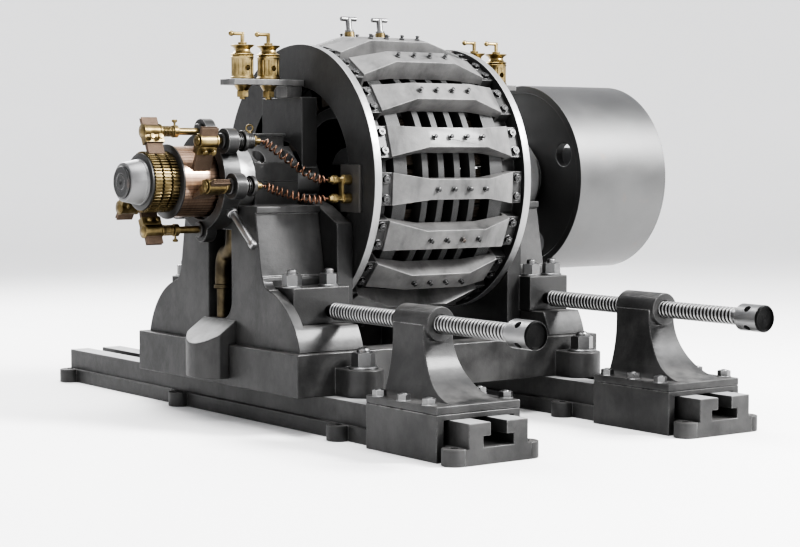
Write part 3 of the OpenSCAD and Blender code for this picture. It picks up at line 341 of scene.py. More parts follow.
def setLamps():
    for name, place, aim, size, power in studio["lamps"]:
        deselect()
        bpy.ops.object.light_add(type="AREA", location=place)
        lamp = bpy.context.object
        lamp.name = name
        lamp.rotation_euler = (Vector(aim) - Vector(place)).to_track_quat("-Z", "Y").to_euler()
        lamp.data.shape = "DISK"
        lamp.data.size = size
        lamp.data.energy = power
    world = bpy.data.worlds.new("studioSky")
    bpy.context.scene.world = world
    world.use_nodes = True
    sky = world.node_tree.nodes["Background"]
    sky.inputs["Color"].default_value = (*studio["sky"], 1)
    sky.inputs["Strength"].default_value = studio["skyStrength"]
    bpy.context.scene.view_settings.look = studio["look"]
    bpy.context.scene.view_settings.exposure = studio["exposure"]


setCamera()
setLamps()
print("camera and lamps set")


# Finishes

class Thread:
    def __init__(self, tree, socket):
        self.tree, self.socket = tree, socket

    def math(self, operation, second=0.0, first=None):
        node = self.tree.nodes.new("ShaderNodeMath")
        node.operation = operation
        for slot, value in zip(node.inputs, (self if first is None else first, second)):
            if isinstance(value, Thread):
                self.tree.links.new(value.socket, slot)
            else:
                slot.default_value = value
        return Thread(self.tree, node.outputs[0])

    def saw(self, pitch):
        return self.math("PINGPONG", pitch) / pitch

    def __rsub__(self, other):
        return self.math("SUBTRACT", self, other)

    __add__ = __radd__ = partialmethod(math, "ADD")
    __sub__ = partialmethod(math, "SUBTRACT")
    __mul__ = __rmul__ = partialmethod(math, "MULTIPLY")
    __truediv__ = partialmethod(math, "DIVIDE")
    __pow__ = partialmethod(math, "POWER")
    __gt__ = partialmethod(math, "GREATER_THAN")


def grey(tone, warm=0.0):
    return (tone * (1 + warm), tone, tone * (1 - warm), 1)


wear = {"samples": 6, "rubbed": (0.02, 0.22)}


class Finish:
    def __init__(self, name, values, **fixed):
        self.values = values
        self.material = bpy.data.materials.new(name)
        self.material.use_nodes = True
        self.tree = self.material.node_tree
        self.shader = self.tree.nodes["Principled BSDF"]
        self.place = self.node("TexCoord", out="Object")
        for key, value in fixed.items():
            self.shader.inputs[key.replace("_", " ")].default_value = value

    def node(self, kind, settings=None, sockets=None, out=0):
        made = self.tree.nodes.new("ShaderNode" + kind)
        for key, value in (settings or {}).items():
            setattr(made, key, value)
        for key, value in (sockets or {}).items():
            if isinstance(value, Thread):
                self.tree.links.new(value.socket, made.inputs[key])
            else:
                made.inputs[key].default_value = value
        return Thread(self.tree, made.outputs[out])

    def noise(self, key, *stretch):
        return self.pattern(*self.values[key], *stretch)

    def pattern(self, scale, detail, rough=0.55, stretch=None):
        place = self.place
        if stretch:
            place = self.node("Mapping", sockets={"Vector": place, "Scale": stretch})
        return self.node("TexNoise", sockets={"Vector": place, "Scale": scale, "Detail": detail,
                                              "Roughness": rough})

    def ramp(self, value, low, high):
        return self.node("MapRange", {"interpolation_type": "SMOOTHSTEP"},
                         {"Value": value, "From Min": low, "From Max": high})

    def edges(self):
        rounded = self.node("Bevel", {"samples": wear["samples"]}, {"Radius": self.values["edge"]})
        normal = self.node("NewGeometry", out="Normal")
        same = self.node("VectorMath", {"operation": "DOT_PRODUCT"}, {0: rounded, 1: normal},
                         "Value")
        return self.ramp(1 - same, *wear["rubbed"])

    def part(self, axis, vector=None):
        return self.node("SeparateXYZ", sockets={"Vector": vector or self.place}, out=axis)

    def up(self):
        return self.part("Z", self.node("NewGeometry", out="Normal"))

    def blend(self, factor, first, second):
        return self.node("Mix", {"data_type": "RGBA"}, {0: factor, 6: first, 7: second}, 2)

    def greys(self, factor, dark, light, warm=0.0):
        return self.blend(factor, grey(dark, warm), grey(light, warm))

    def bump(self, height, strength):
        sockets = {"Height": height, "Distance": self.values["bump"], "Strength": strength}
        return self.node("Bump", sockets=sockets, out="Normal")

    def feed(self, tone, rough, normal, bare=None):
        ends = {"Base Color": tone, "Roughness": rough, "Normal": normal, "Metallic": bare}
        for key, thread in ends.items():
            if thread:
                self.tree.links.new(thread.socket, self.shader.inputs[key])
        return self.material


# A noise is its scale, detail, roughness and stretch; a pair of numbers is a range or two tones
# the worn tone of the edges is light enough to be painted highlight as well as rubbed paint
paint = {
    "dark": 0.011, "light": 0.04, "worn": 0.38, "dust": 0.095, "grime": 0.01, "footShade": 0.014,
    "edge": 0.005, "bump": 0.0014, "cloud": (4.5, 6, 0.62), "grain": (330, 3), "lumps": (55, 3),
    "patch": (19, 5, 0.6), "streak": (16, 4, 0.6, (1, 1, 0.18)), "rub": (38, 4),
    "rubbed": (0.3, 0.54), "level": (0.75, 0.98), "settled": (0.3, 0.7), "mottled": (0.36, 0.64),
    "streaked": (0.48, 0.74), "footFade": 0.0005, "planedUp": 0.9, "planedTones": (0.24, 0.42),
    "planedLines": (60, 3, 0.6, (10, 0.25, 1)), "planedBare": 0.45, "turnedTones": (0.2, 0.36),
    "turnedLines": (70, 3, 0.6, (14, 0.6, 0.6)), "turnedBare": 0.85, "turnedFade": 0.0004,
}


# Oil paint over sand-cast iron, rubbed on its edges and dusty on top; the rubbed edges are also
# lightened as painted highlight
def paintedIron(name, dark=paint["dark"], light=paint["light"], machinedAbove=None,
                machinedBeyond=None, shadedFeetBeyond=None):
    coat = Finish(name, paint, Coat_Weight=0.12, Coat_Roughness=0.18, Specular_IOR_Level=0.38)
    cloud, grain, lumps, patch, streak, rub = (
        coat.noise(key) for key in ("cloud", "grain", "lumps", "patch", "streak", "rub"))
    edge = coat.edges() * coat.ramp(rub, *paint["rubbed"])
    dust = coat.ramp(coat.up(), *paint["level"]) * coat.ramp(patch, *paint["settled"]) * 0.7
    mottle = coat.ramp(cloud * 0.7 + patch * 0.3, *paint["mottled"])
    tone = coat.blend(mottle, grey(dark, 0.01), grey(light, 0.015))
    tone = coat.blend(coat.ramp(streak, *paint["streaked"]) * 0.55, tone, grey(paint["grime"]))
    tone = coat.blend(dust, tone, grey(paint["dust"], 0.03))
    rough = 0.36 + 0.16 * lumps + 0.18 * patch + 0.18 * dust - 0.1 * edge
    bare = edge * 0.75
    if machinedAbove:
        planed = (coat.part("Z") > machinedAbove) * (coat.up() > paint["planedUp"])
        lines = coat.noise("planedLines")
        tone = coat.blend(planed, tone, coat.greys(lines, *paint["planedTones"]))
        bare = bare.math("MAXIMUM", planed * paint["planedBare"])
    if machinedBeyond:
        out, rise = coat.part("Y"), coat.part("Z") - shaftZ
        rim = machinedBeyond ** 2
        turned = coat.ramp(out * out + rise * rise, rim - paint["turnedFade"], rim)
        lines = coat.noise("turnedLines")
        tone = coat.blend(turned, tone, coat.greys(lines, *paint["turnedTones"]))
        rough = rough - 0.08 * turned
        bare = bare.math("MAXIMUM", turned * paint["turnedBare"])
    # the stepped feet at the bar ends are painted darker: painted shade in their recess
    if shadedFeetBeyond:
        out = coat.part("X").math("ABSOLUTE")
        foot = coat.ramp(out, shadedFeetBeyond - paint["footFade"], shadedFeetBeyond + paint["footFade"])
        tone = coat.blend(foot * 0.85, tone, grey(paint["footShade"]))
    # edges lightened toward the worn tone: rubbed paint, and painted highlight along the edges
    tone = coat.blend(edge * 0.7, tone, grey(paint["worn"], 0.01))
    height = lumps * 0.8 + grain * 0.3 + patch
    return coat.feed(tone, rough, coat.bump(height, 0.5), bare)


steel = {"cloud": (9, 5), "marks": (150, 3, 0.6), "stain": (23, 6, 0.65), "stained": (0.6, 0.8),
         "edge": 0.003, "worn": 0.48, "rust": (0.2, 0.15, 0.12, 1), "bump": 0.00025,
         "roundX": (9, 0.5, 0.5), "roundY": (0.5, 9, 0.5), "everyWay": (1, 1, 1)}


# Steel turned about an axis, so that its tool marks run round it
def turnedSteel(name, dark, light, dirt=0.25, dull=0.24, way="roundX"):
    coat = Finish(name, steel, Metallic=1.0)
    cloud = coat.noise("cloud")
    marks = coat.noise("marks", steel[way])
    stain = coat.ramp(coat.noise("stain"), *steel["stained"]) * dirt
    tone = coat.greys(cloud * 0.7 + marks * 0.3, dark, light)
    tone = coat.blend(stain, tone, steel["rust"])
    tone = coat.blend(coat.edges() * 0.5, tone, grey(steel["worn"]))
    rough = dull + 0.14 * cloud + 0.14 * marks + 0.25 * stain
    return coat.feed(tone, rough, coat.bump(marks, 0.6))


# Dark and light tone of each soft metal
alloys = {"brass": ((0.15, 0.112, 0.052, 1), (0.36, 0.285, 0.15, 1)),
          "holder": ((0.085, 0.064, 0.031, 1), (0.25, 0.197, 0.104, 1)),
          "ring": ((0.075, 0.057, 0.029, 1), (0.21, 0.166, 0.09, 1)),
          "bronze": ((0.035, 0.029, 0.02, 1), (0.11, 0.091, 0.06, 1)),
          "copper": ((0.065, 0.037, 0.025, 1), (0.22, 0.126, 0.088, 1))}
tarnish = {"tone": (0.055, 0.045, 0.032, 1), "spots": (120, 4), "spotted": (0.62, 0.78),
           "cloud": (26, 5), "clouded": (0.3, 0.75), "scratch": (420, 2, 0.5, (1, 6, 1)),
           "edge": 0.0022, "bump": 0.0002}


# Brass or copper rubbed bright on its edges by handling, with spots of tarnish
def softMetal(name, alloy, dull):
    coat = Finish(name, tarnish, Metallic=1.0)
    dark, light = alloys[alloy]
    cloud = coat.noise("cloud")
    spots = coat.ramp(coat.noise("spots"), *tarnish["spotted"])
    edge = coat.edges()
    scratch = coat.noise("scratch")
    tone = coat.blend(coat.ramp(cloud, *tarnish["clouded"]), dark, light)
    tone = coat.blend(spots * 0.55, tone, tarnish["tone"])
    tone = coat.blend(edge * 0.45, tone, light)
    rough = dull + 0.2 * cloud + 0.2 * spots - 0.05 * edge
    return coat.feed(tone, rough, coat.bump(scratch + cloud * 0.6, 0.5))


sheets = {"pitch": 0.0016, "wobble": (40, 2), "stray": 0.0004, "cloud": (14, 4), "gap": 0.01,
          "tones": (0.042, 0.095), "line": (0.0, 0.5), "bump": 0.0005}


# Stacked sheet iron: the edges of the sheets show as fine lines across X
def sheetIron(name):
    coat = Finish(name, sheets)
    place = coat.part("X") + coat.noise("wobble") * sheets["stray"]
    line = coat.ramp(place.saw(sheets["pitch"]), *sheets["line"])
    cloud = coat.noise("cloud")
    tone = coat.blend(line, grey(sheets["gap"]), coat.greys(cloud, *sheets["tones"]))
    return coat.feed(tone, 0.42 + 0.2 * cloud, coat.bump(line, 0.8), line * 0.55)


cotton = {"wobble": (30, 3), "stray": 0.0008, "strand": (0.0, 0.85), "cloud": (12, 5), "gap": 0.018,
          "dark": (0.03, 0.022, 0.016, 1), "light": (0.095, 0.072, 0.05, 1), "bump": 0.0011}


# Cotton-covered wire under shellac, laid along the length of a coil side
def windingCotton(name, axis, pitch):
    coat = Finish(name, cotton, Specular_IOR_Level=0.45)
    place = coat.part(axis) + coat.noise("wobble") * cotton["stray"]
    strand = coat.ramp(place.saw(pitch), *cotton["strand"])
    cloud = coat.noise("cloud")
    tone = coat.blend(cloud, cotton["dark"], cotton["light"])
    tone = coat.blend((1 - strand) * 0.8, tone, grey(cotton["gap"]))
    return coat.feed(tone, 0.38 + 0.25 * cloud, coat.bump(strand, 1.0))


board = {"cloud": (18, 5), "fibre": (260, 4, 0.6, (1, 0.3, 1)), "edge": 0.002, "worn": 0.06,
         "bump": 0.0002}


# Pressed insulating board and turned ebonite
def insulator(name, dark, light):
    coat = Finish(name, board, Specular_IOR_Level=0.5)
    cloud = coat.noise("cloud")
    fibre = coat.noise("fibre")
    tone = coat.greys(cloud, dark, light, 0.05)
    tone = coat.blend(coat.edges() * 0.4, tone, grey(board["worn"], 0.04))
    return coat.feed(tone, 0.3 + 0.22 * cloud, coat.bump(fibre, 0.5))


bars = {"count": 60, "film": (30, 4, 0.6, (8, 1, 1)), "worn": (200, 3, 0.6, (4, 0.2, 0.2)),
        "dark": (0.27, 0.175, 0.125, 1), "light": (0.52, 0.385, 0.295, 1), "mica": 0.05,
        "seam": (0.02, 0.06), "bump": 0.0002}


# Copper bars parted by mica, counted round the shaft
def commutatorCopper(name):
    coat = Finish(name, bars, Metallic=1.0)
    angle = coat.part("Y").math("ARCTAN2", coat.part("Z") - shaftZ)
    across = (angle * (bars["count"] / fullTurn)).math("PINGPONG", 0.5)
    film, worn = coat.noise("film"), coat.noise("worn")
    tone = coat.blend(film, bars["dark"], bars["light"])
    tone = coat.blend(1 - coat.ramp(across, *bars["seam"]), tone, grey(bars["mica"]))
    return coat.feed(tone, 0.24 + 0.16 * film, coat.bump(worn, 0.5))


mesh = {"pitch": 0.0011, "cloud": (40, 4), "dark": (0.04, 0.03, 0.024, 1),
        "light": (0.2, 0.145, 0.108, 1), "bump": 0.0006}


# Woven copper gauze pressed into a flat brush
def gauze(name):
    coat = Finish(name, mesh, Metallic=0.85)
    across, down = ((coat.part(axis) * (math.pi / mesh["pitch"])).math("SINE") for axis in "XZ")
    weave = across * down * 0.5 + 0.5
    cloud = coat.noise("cloud")
    tone = coat.blend(weave * 0.6 + cloud * 0.4, mesh["dark"], mesh["light"])
    return coat.feed(tone, 0.4 + 0.2 * cloud, coat.bump(weave, 0.8))


floorCoat = {"cloud": (0.8, 5), "fine": (90, 3), "tones": (0.8, 0.86), "bump": 0.0004}


def floorFinish():
    coat = Finish("paleFloor", floorCoat, Specular_IOR_Level=0.25)
    cloud, fine = coat.noise("cloud"), coat.noise("fine")
    tone = coat.greys(cloud, *floorCoat["tones"], 0.004)
    return coat.feed(tone, 0.75 + 0.12 * fine, coat.bump(fine, 0.25))


castingPaint = paintedIron("castingPaint")
railPaint = paintedIron("railPaint", machinedAbove=0.0905)
yokeIron = paintedIron("yokeIron", 0.075, 0.14, shadedFeetBeyond=0.1905)
framePaint = paintedIron("framePaint", 0.009, 0.02)
# a lighter copy of the paint for the shelves: painted light on their lit faces
litShelfPaint = paintedIron("litShelfPaint", 0.05, 0.11)
ringPaint = paintedIron("ringPaint", 0.01, 0.024, machinedBeyond=0.3494)
rockerPaint = paintedIron("rockerPaint", 0.007, 0.015)
pulleySteel = turnedSteel("pulleySteel", 0.085, 0.15, 0.3, 0.36)
shaftSteel = turnedSteel("shaftSteel", 0.18, 0.34)
# darker steel for the end collar: painted shade for its end face
shadedCollarSteel = turnedSteel("shadedCollarSteel", 0.12, 0.22, 0.35, 0.3)
# darker steel for the shaft: painted shade for its visible end face
shadedAxleSteel = turnedSteel("shadedAxleSteel", 0.045, 0.085, 0.4, 0.3)
boltSteel = turnedSteel("boltSteel", 0.1, 0.23, 0.5, way="everyWay")
bluedSteel = turnedSteel("bluedSteel", 0.03, 0.075, 0.5, 0.3, "everyWay")
bossSteel = turnedSteel("bossSteel", 0.2, 0.36, 0.3, 0.34)
gearBrass = softMetal("gearBrass", "brass", 0.26)
holderBrass = softMetal("holderBrass", "holder", 0.28)
ringBrass = softMetal("ringBrass", "ring", 0.3)
drainBronze = softMetal("drainBronze", "bronze", 0.36)
leadCopper = softMetal("leadCopper", "copper", 0.3)
hoopIron = sheetIron("hoopIron")
coilCotton = windingCotton("coilCotton", "Z", 0.0024)
poleCotton = windingCotton("poleCotton", "Y", 0.003)
ebonite = insulator("ebonite", 0.007, 0.018)
slatePlate = insulator("slatePlate", 0.026, 0.055)
barCopper = commutatorCopper("barCopper")
brushGauze = gauze("brushGauze")
print("finishes mixed")


# The floor runs up into the backdrop in one sweep
def setFloor():
    floor = clean(lathe("studioFloor", studio["backdrop"], origin, alongZ, 96), inside=True)
    smooth(floor, 60)
    floor.data.materials.append(floorFinish())


setFloor()


# Castings whose shape is the frame's own, each with its finish, slot and width of eased edge

castings = {
    "left_rail right_rail": (railPaint, "cast_iron", 0.0022),
    "bracket_bases": (castingPaint, "cast_iron", 0.0022),
    "screw_pedestals": (castingPaint, "painted_iron", 0.0022),
    "bed front_pedestal rear_pedestal": (castingPaint, "painted_iron", 0.003),
    "front_end_frame rear_end_frame": (framePaint, "painted_iron", 0.0025),
    "front_ring rear_ring": (ringPaint, "yoke_iron", 0.0018),
    "stator_bars": (yokeIron, "yoke_iron", 0.0016),
    "front_bearing_cap rear_bearing_cap": (castingPaint, "painted_iron", 0.002),
    "drip_box": (castingPaint, "painted_iron", 0.003),
    "terminal_shelves": (litShelfPaint, "painted_iron", 0.0015),
    "lead_plate": (slatePlate, "insulation", 0.0012),
    "rocker_ring": (rockerPaint, "painted_iron", 0.0015),
    "pulley": (pulleySteel, "bright_steel", 0.002),
    "front_bush rear_bush": (bossSteel, "bright_steel", 0.0012),
    "terminal_nuts": (gearBrass, "brass", 0.0006),
    "handle_bosses": (holderBrass, "brass", 0.0006),
    "lead_studs_and_link": (gearBrass, "brass", 0.0006),
    "magnet_wheel": (framePaint, "painted_iron", 0.001),
    "core_hoops core_teeth": (hoopIron, "yoke_iron", 0.0006),
    "armature_coils": (coilCotton, "copper", 0.0025),
    "rotor_poles": (hoopIron, "yoke_iron", 0.001),
    "rotor_coils": (poleCotton, "copper", 0.002),
    "front_t_screw rear_t_screw": (boltSteel, "bright_steel", 0.0008),
    "front_outer_crank front_inner_crank rear_inner_crank rear_outer_crank":
        (gearBrass, "brass", 0.0006),
}
for group, (finish, slot, width) in castings.items():
    for node in group.split():
        easedCopy(node, finish, width)
print("castings eased")


# Nuts with chamfered corners, their washers and the rounded ends of their studs

nutShape = {"trim": 1.02, "crown": 0.48, "chamfer": 30, "side": 0.6, "ease": 0.4, "lip": 0.35,
            "lipLine": [(1, 1), (0.4, 0.86), (0, 0.55), (0, 0)], "turn": 37}


def hexNut(across, height, washer, washerHeight, stud, above, below):
    corner = across / math.sqrt(3)
    top, wide, crown = washerHeight + height, corner * nutShape["trim"], across * nutShape["crown"]
    low = top - (wide - crown) * math.tan(math.radians(nutShape["chamfer"]))
    nut = rod("nut", corner, height, (0, 0, washerHeight), alongZ, 6)
    line = [(0, 0), (0, wide), (low, wide), (top, crown), (top, 0)]
    cut(nut, lathe("trim", line, origin, alongZ, 40), "INTERSECT")
    r, t = washer, washerHeight
    line = [(0, 0), (0, r), (t * nutShape["side"], r), (t, r - t * nutShape["ease"]), (t, 0)]
    disc = lathe("disc", line, origin, alongZ, 32)
    r, end = stud, top + above
    lip = min(nutShape["lip"] * r, above)
    line = [(end - down * lip, r * share) for down, share in nutShape["lipLine"]]
    pin = lathe("pin", [(-below, 0), (-below, r)] + line, origin, alongZ, 24)
    return smooth(join([nut, disc, pin], "nut"), crisp)


def roundShaft(x, y, out):
    turns = [math.radians(drum["lean"] + 360 * k / drum["bars"]) for k in range(drum["bars"])]
    return [Matrix.Translation((0, 0, shaftZ)) @ Matrix.Rotation(turn, 4, "X")
            @ Matrix.Translation((x, y, out)) for turn in turns]


def placed(xs, ys, z):
    return [Matrix.Translation((x, y, z)) for x in xs for y in ys]


drum = {"bars": 18, "lean": -7, "nutX": (-0.207, 0.207), "nutY": (-0.024, 0.024), "nutOut": 0.337,
        "pinX": (-0.075, -0.025, 0.025, 0.075), "pinOut": 0.376,
        "pin": mm((-4, 0), (-4, 3.5), (0, 3.5), (0, 6.6), (0.5, 7), (2.8, 7), (3.5, 6.3),
                  (3.5, 4), (7.8, 3.7), (8.2, 4.8), (9, 5.4), (10.8, 5.2), (11.8, 3.6), (12, 0))}
barNuts = [place for x in drum["nutX"] for y in drum["nutY"]
           for place in roundShaft(x, y, drum["nutOut"])]

# Places of each set, then the arguments of its nut
nutSets = {
    "foot_bolts": (placed((-0.431, -0.323, 0.323, 0.393), (-0.26, 0.26), 0.345),
                   (0.042, 0.027, 0.027, 0.005, 0.012, 0.012, 0.02)),
    "bracket_bolts": (placed((-0.452, -0.238, 0.238, 0.452), (-0.657, -0.751, -0.845), 0.123),
                      (0.028, 0.0135, 0.0175, 0.002, 0.008, 0.0025, 0.02)),
    "cap_bolts": (placed((-0.408, -0.322, 0.322, 0.388), (-0.072, 0.072), 0.635),
                  (0.022, 0.0105, 0.0135, 0.002, 0.007, 0.0035, 0.01)),
    "bar_bolts": (barNuts, (0.019, 0.0078, 0.0122, 0.0017, 0.005, 0.0015, 0.004)),
}


def setNuts(node, places, sizes):
    turned = [place @ Matrix.Rotation(math.radians(nutShape["turn"] * k), 4, "Z")
              for k, place in enumerate(places)]
    whole = repeat(hexNut(*sizes), turned, node + ".nuts")
    finish = bluedSteel if node == "bar_bolts" else boltSteel
    dress(whole, finish, node)


for node, facts in nutSets.items():
    setNuts(node, *facts)

clamp = {"x": 0.345, "y": 0.44, "bossTop": 0.158, "headLow": 0.044, "headTop": 0.062,
         "head": 0.037, "ease": 0.0015, "nut": (0.05, 0.034, 0.036, 0.006, 0.016, 0.011, 0.096)}


def clampBolts():
    half = clamp["head"]
    nut = hexNut(*clamp["nut"])
    nut.data.transform(Matrix.Translation((0, 0, clamp["bossTop"])))
    head = block("head", (-half, -half, clamp["headLow"]), (half, half, clamp["headTop"]))
    ease(head, clamp["ease"])
    places = placed((-clamp["x"], clamp["x"]), (-clamp["y"], clamp["y"]), 0)
    whole = repeat(join([nut, head], "clampBolt"), places, "clampBolts")
    dress(whole, boltSteel, "clamp_bolts")


def barPins():
    pin = smooth(lathe("pin", drum["pin"], origin, alongZ, 20))
    places = [place for x in drum["pinX"] for place in roundShaft(x, 0, drum["pinOut"])]
    whole = repeat(pin, places, "barPins")
    dress(whole, bluedSteel, "bar_screws")


clampBolts()
barPins()
print("nuts and pins set")


# Tension screws with a real helix, a plain neck and a bored head

screw = {
    "x": 0.345, "z": 0.287, "tipY": -0.298, "tipLength": 0.018, "overlap": 0.002, "pitch": 0.012,
    "radius": 0.021, "depth": 0.003, "length": 0.698, "steps": 40, "crestFade": 0.0002,
    "tip": mm((0, 0), (0, 13), (2, 15), (22, 15), (22, 0)),
    "crest": [(0, 0.12), (0.85, 0.16), (0.15, 0.07), (0, 0.2), (-0.15, 0.07), (-0.85, 0.16),
              (0, 0.22)],
    "headLength": 0.085, "faceDepth": 0.0045, "ringPitch": 0.0016,
    "neck": mm((-12, 0), (-12, 18), (-4, 20), (11, 20), (12, 22), (12, 29), (15, 32)),
    "rim": mm((-3, 32), (0, 29), (0, 27)), "grooves": 7, "grooveFrom": 0.026, "grooveStep": 0.004,
    "grooveHigh": 0.0035, "grooveLow": 0.004, "boreRadius": 0.009, "boreFrom": 0.0485,
    "boreReach": 0.05,
    "faceShadeTone": 0.012, "rootTone": 0.022, "headTones": (0.15, 0.3), "threadTones": (0.2, 0.4),
    "threadCloud": (14, 5), "scratch": (300, 3), "bump": 0.0002,
}


def screwRadius(coat):
    across = coat.part("X").math("ABSOLUTE") - screw["x"]
    rise = coat.part("Z") - screw["z"]
    return (across * across + rise * rise) ** 0.5


# Turned head cut in fine rings on its end face, which is painted near black: painted shade
def boredHead(name):
    coat = Finish(name, steel, Metallic=1.0)
    fine = (screwRadius(coat) * (fullTurn / screw["ringPitch"])).math("SINE")
    marks, cloud = coat.noise("marks", steel["roundY"]), coat.noise("cloud")
    end = screw["length"] + screw["headLength"] - screw["tipY"]
    face = (0 - coat.part("Y")) > end - screw["faceDepth"]
    tone = coat.greys(cloud * 0.7 + marks * 0.3, *screw["headTones"])
    tone = coat.blend(coat.edges() * 0.5, tone, grey(steel["worn"]))
    # end face painted near black: painted shade
    tone = coat.blend(face, tone, grey(screw["faceShadeTone"]))
    height = marks * (1 - face) + fine * face * 0.6
    return coat.feed(tone, 0.25 + 0.14 * cloud + 0.12 * marks, coat.bump(height, 0.6))


# Thread worn bright on its crest and darker in its root
def wornThread(name):
    coat = Finish(name, screw, Metallic=1.0)
    crest = coat.ramp(screwRadius(coat), screw["radius"] - screw["depth"],
                      screw["radius"] - screw["crestFade"])
    cloud, scratch = coat.noise("threadCloud"), coat.noise("scratch")
    tone = coat.greys(cloud * 0.6 + scratch * 0.4, *screw["threadTones"])
    tone = coat.blend(1 - crest, tone, grey(screw["rootTone"], 0.05))
    return coat.feed(tone, 0.46 - 0.2 * crest + 0.12 * cloud, coat.bump(scratch, 0.4))


headSteel = boredHead("headSteel")
screwSteel = wornThread("screwSteel")


def tensionScrew(name, x, node):
    pitch, depth = screw["pitch"], screw["depth"]
    start = Vector((x, screw["tipY"] - screw["tipLength"] + screw["overlap"], screw["z"]))
    points = [Vector((screw["radius"] - depth, 0, 0))]
    for out, along in screw["crest"]:
        points.append(points[-1] + Vector((out * depth, 0, along * pitch)))
    drawLine(name, points)
    thread = leave()
    modify(thread, "SCREW", axis="Z", screw_offset=pitch, steps=screw["steps"],
           iterations=int((screw["length"] - screw["tipLength"]) / pitch),
           render_steps=screw["steps"], angle=fullTurn, use_merge_vertices=False)
    edit(thread)
    bpy.ops.mesh.remove_doubles(threshold=mergeWithin)
    bpy.ops.mesh.fill_holes(sides=0)
    clean(leave())
    thread.data.transform(Matrix.Translation(start) @ Matrix.Rotation(math.radians(90), 4, "X"))
    smooth(thread, crisp)
    tip = smooth(lathe(name + "Tip", screw["tip"], (x, screw["tipY"], screw["z"]), (0, -1, 0), 48))
    dress(join([thread, tip], name), screwSteel, node)
    dress(screwHead(name + "Head", x), headSteel, node)


def screwHead(name, x):
    near, far = screw["length"], screw["length"] + screw["headLength"]
    line = moved(screw["neck"], near) + moved(screw["rim"], far)
    for k in range(screw["grooves"]):
        down = screw["grooveLow"] if k % 2 else screw["grooveHigh"]
        line.append((far - down, screw["grooveFrom"] - screw["grooveStep"] * k))
    line.append((far - screw["grooveLow"], 0))
    head = lathe(name, line, (x, screw["tipY"], screw["z"]), (0, -1, 0), 72)
    middle = Vector((x, screw["tipY"] - near - screw["boreFrom"], screw["z"]))
    reach = screw["boreReach"]
    for slope in (1, -1):
        along = Vector((1, 0, slope)).normalized()
        cut(head, rod("bore", screw["boreRadius"], 2 * reach, middle - along * reach, along, 28))
    return smooth(head, crisp)


tensionScrew("leftScrew", -screw["x"], "left_tension_screw")
tensionScrew("rightScrew", screw["x"], "right_tension_screw")
print("tension screws cut")


# Spiral leads from the brush studs to the studs on the ring

lead = {"ends": {"upper": ((-0.428, -0.112, 0.7), (-0.317, -0.251, 0.605)),
                 "lower": ((-0.448, -0.15, 0.59), (-0.317, -0.251, 0.559))},
        "pull": Vector((0.038, 0, -0.014)), "rest": Vector((0.038, 0, 0.01)), "wire": 0.0024,
        "tail": Vector((0.0072, 0, 0)), "curls": 13, "curlRadius": 0.0095, "stepsPerCurl": 20,
        "near": 0.01}


def bezier(p, t):
    s = 1 - t
    return p[0] * s ** 3 + p[1] * (3 * s * s * t) + p[2] * (3 * s * t * t) + p[3] * t ** 3


def leadLine(start, end):
    start, end = Vector(start), Vector(end)
    tail, near, steps = lead["tail"], lead["near"], lead["stepsPerCurl"]
    p = [start, start + lead["pull"], end - lead["rest"], end]
    q = [p[0] + tail, p[1] + tail, p[2] - tail, p[3] - tail]
    count = lead["curls"] * steps
    points = [start]
    for i in range(count + 1):
        t = i / count
        ahead = (bezier(p, min(1, t + near)) - bezier(p, max(0, t - near))).normalized()
        u = ahead.cross(alongZ).normalized()
        v = u.cross(ahead)
        r = lead["curlRadius"] * min(1, min(i, count - i) / steps)
        w = fullTurn * i / steps
        points.append(bezier(q, t) + (v * math.cos(w) + u * math.sin(w)) * r)
    return points + [end]


for side, (start, end) in lead["ends"].items():
    coil = tube(side + "Lead", leadLine(start, end), lead["wire"], 3)
    coil.data.materials.append(leadCopper)
    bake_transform(coil)
    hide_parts(side + "_lead")
print("leads wound")


# Fluted terminal posts: stem and foot rise from the shelf, crown and mouth hang from the top

post = {
    "places": (-0.41, -0.333, 0.333, 0.41), "z": 0.857, "height": 0.086,
    "stem": mm((-51, 0), (-51, 7), (-50, 8), (0, 8)),
    "foot": mm((0, 28.5), (1.5, 30), (5, 30), (6.5, 28.5), (6.5, 28), (8.5, 28)),
    "crown": mm((-34, 28), (-32.5, 28.5), (-30.5, 29.5), (-28.5, 28.5), (-27.5, 27),
                (-26.2, 28.5), (-24.2, 30), (-22.2, 28.5), (-21, 25), (-16, 20.5), (-12, 19.5),
                (-8, 21.5), (-4, 28), (-2, 29.7), (-0.6, 30), (0, 29), (-3, 24)),
    "mouth": mm((-4.5, 13), (-4.5, 8.5), (-12, 8.1), (-12, 0)),
    "flutes": 16, "fluteRadius": 0.0043, "fluteOut": 0.0308, "fluteZ": 0.0115, "fluteLength": 0.037,
    "wireRadius": 0.007, "wireFrom": (0, -0.04, 0.028), "wireLength": 0.08,
}


def terminalPosts():
    line = post["stem"] + post["foot"] + moved(post["crown"] + post["mouth"], post["height"])
    body = lathe("post", line, origin, alongZ, 96)
    flutes = []
    for k in range(post["flutes"]):
        w, out = fullTurn * (k + 0.5) / post["flutes"], post["fluteOut"]
        place = (math.cos(w) * out, math.sin(w) * out, post["fluteZ"])
        flutes.append(rod("flute", post["fluteRadius"], post["fluteLength"], place, alongZ, 14))
    cut(body, join(flutes, "flutes"))
    wire = rod("wireHole", post["wireRadius"], post["wireLength"], post["wireFrom"], (0, 1, 0), 32)
    cut(body, wire)
    smooth(body, 32)
    whole = repeat(body, placed(post["places"], (0,), post["z"]), "terminalPosts")
    dress(whole, gearBrass, "terminal_posts")


terminalPosts()
print("terminals turned")


# Collector rings with a toothed rim, and the commutator with its bars parted

rings = {"from": -0.701, "pitch": 0.024, "count": 3, "radius": 0.075, "root": 0.0705, "core": 0.062,
         "teeth": 54, "gap": 0.0025, "ease": 0.0005}


